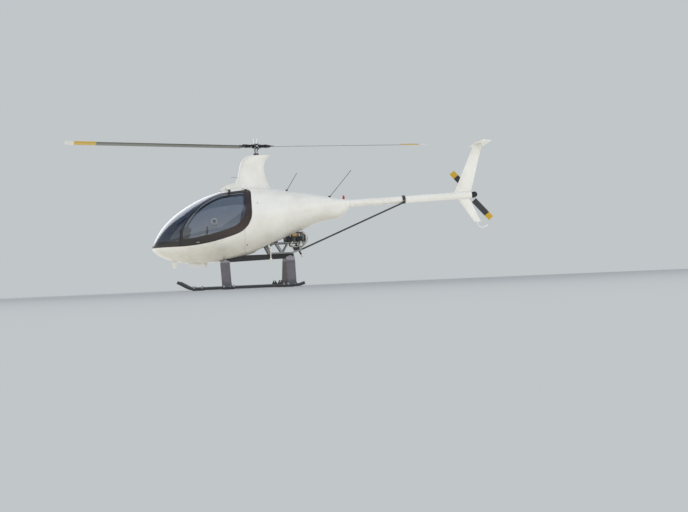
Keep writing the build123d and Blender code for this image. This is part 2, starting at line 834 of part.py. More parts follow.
# Flying controls
with BuildPart() as control_sticks:
    for side in HALVES:
        y = side * SEAT_Y
        foot = point(STICK_X, y, FLOOR_Z)
        neck = point(STICK_TOP[0], y, STICK_TOP[1])
        add(rod(foot, point(STICK_X, y, FLOOR_Z + STICK_BOOT_H), STICK_BOOT_R))
        add(rod(point(STICK_X, y, FLOOR_Z + STICK_BOOT_H / 2), neck, STICK_R))
        add(rod(neck - Vector(0, 0, STICK_GRIP_R), point(GRIP_TOP[0], y, GRIP_TOP[1]), STICK_GRIP_R))

with BuildPart() as pedals:
    for side in HALVES:
        for foot in HALVES:
            y = side * PEDAL_Y + foot * PEDAL_SPREAD
            top = point(PEDAL_TOP[0], y, PEDAL_TOP[1])
            start = point(PEDAL_FOOT_X, y, FLOOR_Z)
            add(rod(start, start + Vector(0, 0, PEDAL_FOOT_H), PEDAL_FOOT_R))
            add(rod(start + Vector(0, 0, PEDAL_FOOT_H / 2), top, PEDAL_ARM_R))
            with BuildSketch(Plane(origin=top, x_dir=(0, 1, 0), z_dir=(-1, 0, 0.4))):
                Rectangle(PEDAL_PAD[0], PEDAL_PAD[1])
            extrude(amount=PEDAL_PAD[2])

with BuildPart() as collective_lever:
    knee = point(LEVER_FOOT_X, 0, LEVER_KNEE_Z)
    tip = point(LEVER_TIP[0], 0, LEVER_TIP[1])
    add(rod(point(LEVER_FOOT_X, 0, FLOOR_Z), knee, LEVER_FOOT_R))
    add(rod(knee - Vector(0, 0, LEVER_R), tip, LEVER_R))
    add(rod(knee + (tip - knee) * LEVER_GRIP_START, tip, LEVER_GRIP_R))

# Welded truss that joins keel, gearbox and engine
with BuildPart() as truss_frame:
    pylon_z = GEARBOX_LOW_Z - TUBE_R
    side_tubes = [
        # start (station, side, height), end (station, side, height)
        ((TRUSS_FRONT_X, TRUSS_Y, DECK_Z), (TRUSS_REAR_X, TRUSS_Y, DECK_Z)),
        ((BEARER_FRONT_X, TRUSS_Y, BEARER_Z), (BEARER_REAR_X, TRUSS_Y, BEARER_Z)),
        ((VEE_FOOT_X, TRUSS_Y, DECK_Z), (VEE_HEADS[0], TRUSS_Y, BEARER_Z)),
        ((VEE_FOOT_X, TRUSS_Y, DECK_Z), (VEE_HEADS[1], TRUSS_Y, BEARER_Z)),
        ((TRUSS_FRONT_X, TRUSS_Y, DECK_Z), (BEARER_FRONT_X, TRUSS_Y, BEARER_Z)),
        ((TRUSS_REAR_X, TRUSS_Y, DECK_Z), (STRUT_X, STRUT_Y, STRUT_Z)),
        ((BRACE_X, TRUSS_Y, BEARER_Z), (STRUT_X, STRUT_Y, STRUT_Z)),
        ((TRUSS_FRONT_X, TRUSS_Y, DECK_Z), (PYLON_STATIONS[0], PYLON_Y, pylon_z)),
        ((TRUSS_FRONT_X, TRUSS_Y, DECK_Z), (PYLON_STATIONS[1], PYLON_Y, pylon_z)),
    ]
    cross_tubes = [
        # station, half length, height
        (TRUSS_FRONT_X, TRUSS_Y, DECK_Z),
        (TRUSS_REAR_X, TRUSS_Y, DECK_Z),
        (BEARER_FRONT_X, TRUSS_Y, BEARER_Z),
        (PYLON_STATIONS[0], PYLON_Y, pylon_z),
        (PYLON_STATIONS[1], PYLON_Y, pylon_z),
    ]
    for side in HALVES:
        for start, end in side_tubes:
            start_at = point(start[0], side * start[1], start[2])
            end_at = point(end[0], side * end[1], end[2])
            add(rod(start_at, end_at, TUBE_R))
            with Locations(start_at, end_at):
                Sphere(TUBE_R)
        with Locations(point(STRUT_X, side * STRUT_Y, STRUT_Z)):
            Sphere(STRUT_BALL_R)
    for station, half, height in cross_tubes:
        add(rod(point(station, -half, height), point(station, half, height), TUBE_R))

# Post clipped to the truss on the port side
with BuildPart() as side_post:
    post_y = -(TRUSS_Y + TUBE_R + POST_R + FIT)
    add(rod(point(POST_X, post_y, POST_LOW_Z), point(POST_X, post_y, POST_TOP_Z), POST_R))

# Gearbox under the mast
with BuildPart() as main_gearbox:
    with BuildSketch(deck(GEARBOX_LOW_Z)):
        with Locations(((GEARBOX_FRONT_X + GEARBOX_REAR_X) / 2, 0)):
            Rectangle(GEARBOX_REAR_X - GEARBOX_FRONT_X, 2 * GEARBOX_HALF)
    extrude(amount=GEARBOX_TOP_Z - GEARBOX_LOW_Z)
    with BuildSketch(deck(GEARBOX_TOP_Z)):
        Circle(BEARING_R)
    extrude(amount=BEARING_TOP_Z - GEARBOX_TOP_Z)
    with BuildSketch(deck(MAST_LOW_Z - 10)):
        Circle(MAST_R + RUN)
    extrude(amount=FAR, mode=Mode.SUBTRACT)

# Engine: crankcase on its feet, starter housing and four finned cylinders
with BuildPart() as engine:
    with BuildSketch(deck(FEET_Z)):
        with Locations((ENGINE_X - FOOT_SPREAD, 0), (ENGINE_X + FOOT_SPREAD, 0)):
            Rectangle(FOOT_W, 2 * (TRUSS_Y + TUBE_R))
    extrude(amount=FOOT_T)
    with BuildSketch(deck(FEET_Z)):
        with Locations((ENGINE_X, 0)):
            Rectangle(CASE_L, 2 * CASE_HALF)
    extrude(amount=CASE_H)
    chamfer(faces().sort_by(Axis.Z)[-1].edges(), CASE_EDGE)
    with BuildSketch(frame_at(ENGINE_X + CASE_L / 2)):
        with Locations((0, ENGINE_Z + STARTER_RISE)):
            Circle(STARTER_R)
    extrude(amount=STARTER_L)
    for station in (ENGINE_X - CYLINDER_SPREAD, ENGINE_X + CYLINDER_SPREAD):
        with BuildSketch(abeam(station, 0, ENGINE_Z)):
            Circle(BARREL_R)
        extrude(amount=HEAD_Y, both=True)
        for side in HALVES:
            for index in range(COOLING_COUNT):
                plate_y = side * (COOLING_START_Y + COOLING_STEP * index)
                with BuildSketch(abeam(station, plate_y, ENGINE_Z)) as plate:
                    Rectangle(COOLING_L, COOLING_H)
                    chamfer(plate.vertices(), COOLING_CORNER)
                extrude(amount=COOLING_T / 2, both=True)
            with BuildSketch(abeam(station, side * HEAD_Y, ENGINE_Z)):
                Rectangle(HEAD_L, HEAD_H)
            extrude(amount=HEAD_HALF, both=True)

# Radiator ahead of the engine, on the bearers
with BuildPart() as radiator:
    with BuildSketch(deck(FEET_Z)):
        with Locations((RADIATOR_X, 0)):
            Rectangle(RADIATOR_T, 2 * (TRUSS_Y + TUBE_R / 2))
    extrude(amount=RADIATOR_BASE)
    with BuildSketch(deck(FEET_Z)):
        with Locations((RADIATOR_X, 0)):
            Rectangle(RADIATOR_T, 2 * RADIATOR_HALF)
        with Locations((RADIATOR_X, -RADIATOR_HALF), (RADIATOR_X, RADIATOR_HALF)):
            Rectangle(TANK_T, TANK_W)
    extrude(amount=RADIATOR_H)

# Muffler with its tailpipe, then the exhaust pipe that comes round the rear of the engine to it
with BuildPart() as muffler:
    drum_end = Vector(0, MUFFLER_HALF, 0)
    drum = point(MUFFLER_X, 0, MUFFLER_Z)
    add(rod(drum - drum_end, drum + drum_end, MUFFLER_R))
    with BuildSketch(deck(MUFFLER_Z)):
        with Locations((MUFFLER_X, 0)):
            Rectangle(HANGER_T, HANGER_W)
    extrude(amount=FEET_Z - MUFFLER_Z)
    add(rod(point(*TAILPIPE[0]), point(*TAILPIPE[1]), TAILPIPE_R))

with BuildPart() as exhaust_pipe:
    route = [point(*knee) for knee in EXHAUST]
    add(pipe((*route, point(MUFFLER_X, EXHAUST[-1][1], MUFFLER_Z)), EXHAUST_R, EXHAUST_BEND))
    with BuildSketch(SIDE):
        with Locations((MUFFLER_X, MUFFLER_Z)):
            Circle(MUFFLER_R + FIT)
    extrude(amount=FAR, both=True, mode=Mode.SUBTRACT)
    with BuildSketch(deck(FEET_Z)):
        with Locations((ENGINE_X, 0)):
            Rectangle(CASE_L, 2 * (CASE_HALF + FIT))
    extrude(amount=CASE_H + FIT, mode=Mode.SUBTRACT)


def cross_tube(head, height):
    """A landing gear cross tube from leg to leg."""
    return rod(point(head, -CROSS_END_Y, height), point(head, CROSS_END_Y, height), CROSS_R)


def leg(side, head, foot, height):
    """A streamlined leg from a cross tube's end to its skid, with the socket for the tube."""
    low = point(foot, side * HALF_TRACK, SKID_Z)
    top = point(head, side * CROSS_END_Y, height)
    inner = point(head, side * (CROSS_END_Y - SOCKET_IN), height)
    outer = point(head, side * (CROSS_END_Y + SOCKET_OUT), height)
    reach = Vector(LEG_HEAD_CHORD, 0, 0)
    with BuildPart() as piece:
        for end, chord in ((low, LEG_FOOT_CHORD), (top, LEG_HEAD_CHORD)):
            with BuildSketch(Plane(origin=end, x_dir=(1, 0, 0), z_dir=top - low)):
                Ellipse(chord / 2, LEG_THICK / 2)
        loft(ruled=True)
        add(rod(inner, outer, SOCKET_R))
        add(rod(low - reach, low + reach, SKID_R + FIT), mode=Mode.SUBTRACT)
        add(rod(point(head, 0, height), top + Vector(0, side * FIT, 0), CROSS_R + FIT), mode=Mode.SUBTRACT)
    return piece.part


# Landing gear: cross tubes, streamlined legs and skids
with BuildPart() as front_cross_tube:
    add(cross_tube(LEGS[0][0], LEGS[0][2]))

with BuildPart() as rear_cross_tube:
    add(cross_tube(LEGS[1][0], LEGS[1][2]))

with BuildPart() as gear_legs:
    for side in HALVES:
        for head, foot, height in LEGS:
            add(leg(side, head, foot, height))

with BuildPart() as skids:
    for side in HALVES:
        y = side * HALF_TRACK
        nose = (point(SKID_TIP[0], y, SKID_TIP[1]), point(SKID_BEND_X, y, SKID_Z))
        tail = (point(SKID_STRAIGHT_X, y, SKID_Z), point(SKID_TAIL[0], y, SKID_TAIL[1]))
        add(pipe((*nose, *tail), SKID_R, SKID_BENDS))

with BuildPart() as skid_shoes:
    for side in HALVES:
        for station in SHOE_STATIONS:
            with BuildSketch(deck(0)):
                with Locations((station, side * HALF_TRACK)):
                    Rectangle(SHOE_L, SHOE_W)
            extrude(amount=SHOE_Z + SHOE_GRASP)
            middle = point(station, side * HALF_TRACK, SKID_Z)
            reach = Vector(SHOE_L, 0, 0)
            add(rod(middle - reach, middle + reach, SKID_R + FIT), mode=Mode.SUBTRACT)

# Brackets for ground handling wheels, each with a bore through it
with BuildPart() as wheel_brackets:
    for side in HALVES:
        y = side * HALF_TRACK
        outline = (
            (BRACKET_X - BRACKET_FOOT, SKID_Z),
            (BRACKET_X - BRACKET_FOOT, SKID_Z + BRACKET_SHOULDER),
            (BRACKET_X - BRACKET_HEAD, BRACKET_Z + BRACKET_TOP),
            (BRACKET_X + BRACKET_HEAD, BRACKET_Z + BRACKET_TOP),
            (BRACKET_X + BRACKET_FOOT, SKID_Z + BRACKET_SHOULDER),
            (BRACKET_X + BRACKET_FOOT, SKID_Z),
        )
        add(side_profile(outline, BRACKET_HALF, y))
        with BuildSketch(abeam(BRACKET_X, y, BRACKET_Z)):
            Circle(BRACKET_BORE_R)
        extrude(amount=2 * BRACKET_HALF, both=True, mode=Mode.SUBTRACT)
        reach = Vector(2 * BRACKET_FOOT, 0, 0)
        middle = point(BRACKET_X, y, SKID_Z)
        add(rod(middle - reach, middle + reach, SKID_R + FIT), mode=Mode.SUBTRACT)

# Tail boom from the gearbox to the tail rotor's gearbox
with BuildPart() as tail_boom:
    start = point(GEARBOX_REAR_X - BOOM_R, 0, boom_z(GEARBOX_REAR_X - BOOM_R))
    add(rod(start, point(BOOM_END_X, 0, boom_z(BOOM_END_X)), BOOM_R))
    with BuildSketch(frame_at(GEARBOX_REAR_X)):
        Rectangle(4 * FAR, 4 * FAR)
    extrude(amount=-FAR, mode=Mode.SUBTRACT)

# Struts from the truss to the clamp on the boom
with BuildPart() as boom_struts:
    with BuildSketch(boom_plane(CLAMP_X)):
        Circle(BOOM_R + CLAMP_T)
    extrude(amount=CLAMP_L / 2, both=True)
    for side in HALVES:
        start = point(STRUT_X, side * STRUT_Y, STRUT_Z)
        end = point(CLAMP_X, side * CLAMP_Y, boom_z(CLAMP_X) - CLAMP_DROP)
        along = (end - start).normalized()
        add(rod(start + along * STRUT_BALL_R, end, STRUT_R))
    with BuildSketch(boom_plane(CLAMP_X)):
        Circle(BOOM_R + FIT)
    extrude(amount=4 * CLAMP_L, both=True, mode=Mode.SUBTRACT)

# Tail rotor gearbox at the boom's end
with BuildPart() as tail_gearbox:
    with BuildSketch(tail_plane(TAIL_BOX_START_Y)):
        Circle(TAIL_BOX_R)
    extrude(amount=TAIL_BOX_END_Y - TAIL_BOX_START_Y)
    with BuildSketch(tail_plane(TAIL_BOX_END_Y)):
        Circle(TAIL_NECK_R)
    extrude(amount=TAIL_NECK_L)
    boom_end = point(BOOM_END_X, 0, boom_z(BOOM_END_X))
    add(rod(boom_end, point(TAIL_ROTOR_X, 0, boom_z(TAIL_ROTOR_X)), TAIL_SOCKET_R))
    with BuildSketch(boom_plane(BOOM_END_X)):
        Circle(4 * BOOM_R)
    extrude(amount=-4 * BOOM_R, mode=Mode.SUBTRACT)
    with BuildSketch(tail_plane(TAIL_SHAFT_START_Y - 5)):
        Circle(TAIL_SHAFT_R + RUN)
    extrude(amount=FAR, mode=Mode.SUBTRACT)


def fin(table):
    """A swept fin lofted between level sections and seated round the boom."""
    with BuildPart() as blade:
        for height, leading, chord, thick in table:
            with BuildSketch(deck(height)):
                with Locations((leading + 0.25 * chord, 0)):
                    add(blade_sketch(chord, thick))
        loft(ruled=True)
        with BuildSketch(boom_plane(BOOM_END_X)):
            Circle(BOOM_R + FIT)
        extrude(amount=FAR, both=True, mode=Mode.SUBTRACT)
    return blade.part


with BuildPart() as upper_fin:
    add(fin(UPPER_FIN))

with BuildPart() as lower_fin:
    add(fin(LOWER_FIN))

# Tailplane on the upper fin's flat top
with BuildPart() as tailplane:
    for y, leading, chord, thick in TAILPLANE:
        with BuildSketch(Plane(origin=point(0, y, TAILPLANE_Z), x_dir=(1, 0, 0), z_dir=(0, -1, 0))):
            with Locations((leading + 0.25 * chord, 0)):
                add(blade_sketch(chord, thick, flat=True))
    loft(ruled=True)
    mirror(about=Plane.XZ)

# Tail bumper under the lower fin
with BuildPart() as tail_bumper:
    tip_z = LOWER_FIN[0][0]
    add(pipe([point(station, 0, tip_z + rise) for station, rise in BUMPER], BUMPER_R, BUMPER_BEND))
    with BuildSketch(deck(tip_z)):
        with Locations((BUMPER[0][0], 0)):
            Rectangle(FAR, FAR)
    extrude(amount=FAR, mode=Mode.SUBTRACT)

# Aerials, beacon and the fittings under the nose, each seated on the skin
with BuildPart() as whip_antennas:
    for base, tip in WHIPS:
        foot = point(base[0], 0, base[1])
        add(rod(foot, point(tip[0], 0, tip[1]), WHIP_R))
        add(rod(foot - Vector(0, 0, WHIP_FOOT_H), foot + Vector(0, 0, WHIP_FOOT_H), WHIP_FOOT_R))
    add(seat_form, mode=Mode.SUBTRACT)

with BuildPart() as beacon:
    lens = point(BEACON_X, 0, BEACON_Z)
    add(rod(lens - Vector(0, 0, BEACON_H), lens, BEACON_R))
    with Locations(lens):
        Sphere(BEACON_R)
    add(seat_form, mode=Mode.SUBTRACT)

with BuildPart() as belly_fittings:
    for top, low, top_z, low_z in BELLY_BLADES:
        outline = ((top[0], top_z), (low[0], low_z), (low[1], low_z), (top[1], top_z))
        add(side_profile(outline, BELLY_BLADE_T / 2))
    add(side_profile(BLISTER, BLISTER_HALF))
    add(seat_form, mode=Mode.SUBTRACT)

# Mast and main rotor
with BuildPart() as mast:
    add(rod(point(0, 0, MAST_LOW_Z), point(0, 0, HUB_Z - HUB_DROP), MAST_R))

with BuildPart() as rotor_hub:
    head = deck(HUB_Z).rotated((0, 0, ROTOR_AZIMUTH))
    upright = Plane(origin=head.origin, x_dir=head.x_dir, z_dir=head.y_dir * -1)
    add(rod(point(0, 0, HUB_Z - HUB_DROP), point(0, 0, HUB_Z + HUB_RISE), HUB_R))
    with BuildSketch(head):
        Rectangle(2 * (GRIP_START + RING_L), BEAM_W)
    extrude(amount=BEAM_H / 2, both=True)
    for side in HALVES:
        with BuildSketch(upright.offset(side * CHEEK_Y)):
            Rectangle(CHEEK_L, CHEEK_H)
        extrude(amount=CHEEK_T / 2, both=True)
    add(rod(head.origin - head.y_dir * TEETER_HALF, head.origin + head.y_dir * TEETER_HALF, TEETER_R))
    for side in HALVES:
        root = side * PRONG_GAP
        tip = root + side * PRONG_LEAN
        with BuildSketch(upright):
            with BuildLine():
                Polyline(
                    (root - PRONG_T, 0),
                    (root + PRONG_T, 0),
                    (tip + PRONG_T / 2, PRONG_H),
                    (tip - PRONG_T / 2, PRONG_H),
                    close=True,
                )
            make_face()
        extrude(amount=PRONG_W / 2, both=True)
    with BuildSketch(deck(PLATE_Z)):
        Circle(PLATE_R)
    extrude(amount=PLATE_T)
    for turn in (0, 180):
        with BuildSketch(blade_plane(turn, GRIP_START)):
            Circle(GRIP_R)
        extrude(amount=GRIP_END - GRIP_START)
        with BuildSketch(blade_plane(turn, GRIP_START)):
            Circle(RING_R)
        extrude(amount=RING_L)
        with BuildSketch(blade_plane(turn, GRIP_END - RING_L)):
            Circle(RING_R)
        with BuildSketch(blade_plane(turn, BLADE_ROOT_R - FIT)):
            Rectangle(CUFF_W, CUFF_H)
        loft()
        arm = deck(HUB_Z).rotated((0, 0, ROTOR_AZIMUTH + turn))
        elbow = arm.origin + arm.x_dir * HORN_END[0] + arm.y_dir * HORN_END[1] + arm.z_dir * HORN_END[2]
        rim = deck(PLATE_Z + PLATE_T / 2).origin + (arm.x_dir + arm.y_dir) * (PLATE_R / 2)
        add(rod(arm.origin + arm.x_dir * HORN_AT, elbow, HORN_R))
        with Locations(elbow):
            Sphere(HORN_R)
        add(rod(rim, elbow, LINK_R))
    with BuildSketch(deck(PLATE_Z)):
        Circle(MAST_R + FIT)
    extrude(amount=HUB_Z - HUB_DROP - PLATE_Z, mode=Mode.SUBTRACT)

with BuildPart() as main_blades:
    for turn in (0, 180):
        with BuildSketch(blade_plane(turn, BLADE_ROOT_R)):
            add(blade_sketch(BLADE_CHORD, BLADE_THICK))
        extrude(amount=ROTOR_R - BLADE_ROOT_R)

# Tail rotor
with BuildPart() as tail_hub:
    with BuildSketch(tail_plane(TAIL_SHAFT_START_Y)):
        Circle(TAIL_SHAFT_R)
    extrude(amount=TAIL_ROTOR_Y + TAIL_HUB_HALF + 10 - TAIL_SHAFT_START_Y)
    with BuildSketch(tail_plane(TAIL_ROTOR_Y)):
        Circle(TAIL_HUB_R)
        Rectangle(2 * TAIL_ROOT_R, TAIL_GRIP_W, rotation=TAIL_AZIMUTH)
    extrude(amount=TAIL_HUB_HALF, both=True)

with BuildPart() as tail_blades:
    for turn in (0, 180):
        angle = math.radians(TAIL_AZIMUTH + turn)
        along = Vector(-math.cos(angle), 0, math.sin(angle))
        root = tail_plane(TAIL_ROTOR_Y).origin + along * TAIL_ROOT_R
        with BuildSketch(Plane(origin=root, x_dir=Vector(0, 1, 0).cross(along), z_dir=along)):
            add(blade_sketch(TAIL_CHORD, TAIL_THICK))
        extrude(amount=TAIL_ROTOR_R - TAIL_ROOT_R)

# One file for each piece, named as the piece
pieces = {
    "cabin_shell": cabin_shell,
    "rear_cowl": rear_cowl,
    "roof_spine": roof_spine,
    "windscreen": windscreen,
    "door_frame_left": door_frame_left,
    "door_pane_left": door_pane_left,
    "door_vent_left": door_vent_left,
    "door_frame_right": door_frame_right,
    "door_pane_right": door_pane_right,
    "door_vent_right": door_vent_right,
    "mast_fairing": mast_fairing,
    "pitot_tube": pitot_tube,
    "keel_beam": keel_beam,
    "cabin_floor": cabin_floor,
    "rear_bulkhead": rear_bulkhead,
    "seat_shells": seat_shells,
    "seat_cushions": seat_cushions,
    "back_cushions": back_cushions,
    "instrument_pod": instrument_pod,
    "control_sticks": control_sticks,
    "pedals": pedals,
    "collective_lever": collective_lever,
    "truss_frame": truss_frame,
    "side_post": side_post,
    "main_gearbox": main_gearbox,
    "engine": engine,
    "radiator": radiator,
    "muffler": muffler,
    "exhaust_pipe": exhaust_pipe,
    "front_cross_tube": front_cross_tube,
    "rear_cross_tube": rear_cross_tube,
    "gear_legs": gear_legs,
    "skids": skids,
    "skid_shoes": skid_shoes,
    "wheel_brackets": wheel_brackets,
    "tail_boom": tail_boom,
    "boom_struts": boom_struts,
    "tail_gearbox": tail_gearbox,
    "upper_fin": upper_fin,
    "lower_fin": lower_fin,
    "tailplane": tailplane,
    "tail_bumper": tail_bumper,
    "whip_antennas": whip_antennas,
    "beacon": beacon,
    "belly_fittings": belly_fittings,
    "mast": mast,
    "rotor_hub": rotor_hub,
    "main_blades": main_blades,
    "tail_hub": tail_hub,
    "tail_blades": tail_blades,
}
os.makedirs("parts", exist_ok=True)
for name, piece in pieces.items():
    piece.part.label = name
    export_step(piece.part, f"parts/{name}.step")
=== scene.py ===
"""Looks of a light helicopter with two seats side by side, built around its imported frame.

Metres, in the frame of the part: +X aft, +Y to starboard, +Z up, the origin on the ground.
The tables of the assemblies are in millimetres, with stations measured aft from the mast.
Every finish is procedural. Each assembly is a class that dresses what the frame carries.
"""

from __future__ import annotations

import json
import logging
import math
from dataclasses import dataclass
from enum import Enum
from typing import Protocol, Sequence

import bmesh
import bpy
from mathutils import Matrix, Vector
from mathutils.bvhtree import BVHTree
from mathutils.geometry import interpolate_bezier

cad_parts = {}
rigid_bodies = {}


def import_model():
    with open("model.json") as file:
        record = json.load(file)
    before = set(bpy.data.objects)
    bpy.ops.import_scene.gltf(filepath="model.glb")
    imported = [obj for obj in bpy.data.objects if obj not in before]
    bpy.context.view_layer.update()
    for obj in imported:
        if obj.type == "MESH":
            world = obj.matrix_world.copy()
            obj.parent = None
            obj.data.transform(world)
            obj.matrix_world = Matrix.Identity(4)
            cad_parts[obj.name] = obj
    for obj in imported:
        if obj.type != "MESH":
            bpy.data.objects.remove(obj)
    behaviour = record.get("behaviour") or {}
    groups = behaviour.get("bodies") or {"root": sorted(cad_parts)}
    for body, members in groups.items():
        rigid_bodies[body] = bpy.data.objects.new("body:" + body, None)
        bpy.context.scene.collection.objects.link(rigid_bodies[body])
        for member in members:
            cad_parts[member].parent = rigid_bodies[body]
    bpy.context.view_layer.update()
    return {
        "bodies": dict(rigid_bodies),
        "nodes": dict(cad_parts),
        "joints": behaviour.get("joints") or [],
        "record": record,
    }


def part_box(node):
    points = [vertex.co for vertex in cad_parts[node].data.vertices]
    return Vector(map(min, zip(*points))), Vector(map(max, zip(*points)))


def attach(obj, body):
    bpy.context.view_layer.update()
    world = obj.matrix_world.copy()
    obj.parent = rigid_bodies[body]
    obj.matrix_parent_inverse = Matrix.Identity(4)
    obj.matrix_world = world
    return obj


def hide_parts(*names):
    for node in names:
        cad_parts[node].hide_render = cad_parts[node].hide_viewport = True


LOG = logging.getLogger("helicopter")
MM = 0.001
MAST_X = -0.535
HUB_Z = 2.400
TAIL_HUB = (3.215, 0.170, 1.4645)
OUTLET = (730.0, 80.0, 500.0)
SIDES = {"left": -1, "right": 1}
UP = Vector((0, 0, 1))
FAR = 2.0  # metres from the middle, where a line that looks for the skin starts
HEX_CORNER = 0.577  # radius to a hexagon's corners, for its width across flats

Tree = bpy.types.NodeTree
Socket = bpy.types.NodeSocket
Material = bpy.types.Material
Piece = bpy.types.Object
Row = Sequence[float]
Rows = tuple[Row, ...]

RIVET: Rows = ((-0.5, 3.4), (0.8, 3.0), (1.5, 1.6))


class Body(Enum):
    """The bodies of the frame that pieces ride on."""

    AIRFRAME = "airframe"
    MAIN_ROTOR = "main_rotor"
    TAIL_ROTOR = "tail_rotor"
    DOOR_LEFT = "door_left"
    DOOR_RIGHT = "door_right"


class Hue(Enum):
    """Colours of the finishes, as sRGB hex values."""

    GELCOAT = "ECEBE7"
    GELCOAT_SHADE = "E2E0D9"
    GRIME = "B5AF9C"
    SOOT = "57524A"
    SEAM = "77756F"
    SMOKE = "D1D5DB"
    SCREEN_SMOKE = "A0A7B6"
    MIRROR = "FFFFFF"
    BORDER = "100E0E"
    BORDER_WARM = "35251F"
    LEG = "69666B"
    LEG_DARK = "5D5A60"
    LEG_PALE = "A9A6AC"
    SKID = "2B2D30"
    SKID_WORN = "7F8484"
    TRUSS = "8A8E90"
    STEEL = "B9BABB"
    ALLOY = "C3C5C6"
    CASTING = "8B8D8D"
    CASTING_DARK = "3B3C40"
    HUB = "2B2B2C"
    STAINLESS = "E4E1DB"
    HEAT_STRAW = "B08A4E"
    HEAT_BLUE = "5B6382"
    BLADE = "C9CCC9"
    BLADE_UNDER = "5E635F"
    BLADE_ROOT = "35363A"
    TIP = "D9DBD6"
    YELLOW = "C7A11B"
    TAIL_BLADE = "38383C"
    CLOTH = "4C5878"
    CLOTH_LIGHT = "7682A6"
    WEBBING = "1E1F23"
    MOULDING = "1B1B1D"
    MOULDING_WORN = "34343A"
    PALE_MOULDING = "A4A6A8"
    SHELL = "3F4248"
    SHELL_WORN = "585B62"
    LENS_RED = "8E1410"
    LENS_PALE = "C9402F"
    FLOOR_PANEL = "74777C"
    FLOOR_PANEL_DARK = "585B60"
    RUBBER = "17171A"
    AMBER = "A98752"
    AMBER_PALE = "CBB184"
    DIAL = "0D0D10"
    TICK = "E2E3DE"
    STAGE = "C1C6C9"
    FLOOR = "AAADB0"
    HORIZON = "CDD1D3"
    BOUNCE = "F1EEE5"
    ZENITH = "8FA0B8"
    GLOW = "F9FCFF"


class Where(Enum):
    """What the strength of a layer of colour is read from, in metres where it is a length."""

    AFT = "distance aft of the origin"
    ABEAM = "distance to either side"
    HEIGHT = "height above the ground"
    UPWARD = "how far the surface faces up, from -1 to 1"
    MAST = "distance from the mast's axis"
    TAIL_SHAFT = "distance from the tail rotor's axis"
    OUTLET = "distance from the tailpipe's mouth"
    BLOTCHES = "the layer's own blotches, from 0 to 1"
    THREADS = "crossed threads, from -1 to 1"


class Surface(Enum):
    """What stands out of the surface."""

    GRAIN = "even grain"
    WEAVE = "crossed threads"
    FINS = "level fins"


def linear(hue: Hue) -> tuple[float, float, float, float]:
    """Turns an sRGB hex colour to linear.

    Args:
        hue: The colour.

    Returns:
        Red, green, blue and alpha, linear.
    """
    parts = [int(hue.value[i : i + 2], 16) / 255 for i in (0, 2, 4)]
    return (*[c / 12.92 if c <= 0.04045 else ((c + 0.055) / 1.055) ** 2.4 for c in parts], 1.0)


def add(tree: Tree, kind: str, output: str | int, inputs: dict | None = None, **settings: object) -> Socket:
    """Adds a node, with its settings and its links.

    Args:
        tree: The tree that it joins.
        kind: The node's type, without its "ShaderNode" prefix.
        output: Name or number of the output to give back.
        inputs: For each input's name or number, a value, a hue or the output socket to link.
        settings: The node's own properties.

    Returns:
        The output.
    """
    node = tree.nodes.new("ShaderNode" + kind)
    for name, value in settings.items():
        setattr(node, name, value)
    for name, value in (inputs or {}).items():
        if isinstance(value, bpy.types.NodeSocket):
            tree.links.new(value, node.inputs[name])
        else:
            node.inputs[name].default_value = linear(value) if isinstance(value, Hue) else value
    return node.outputs[output]


def at(station: float, y: float, z: float) -> Vector:
    """Gives a point in metres from its station, side and height in millimetres."""
    return Vector((MAST_X + station * MM, y * MM, z * MM))


@dataclass(frozen=True)
class Layer:
    """A colour laid over the last one where a field runs from low to high.

    With a centre, the field is the distance from it. With a grain, blotches of that size break it up.
    """

    hue: Hue
    where: Where
    low: float
    high: float
    start: float = 0.0
    end: float = 1.0
    grain_mm: float = 0.0
    centre: float | None = None


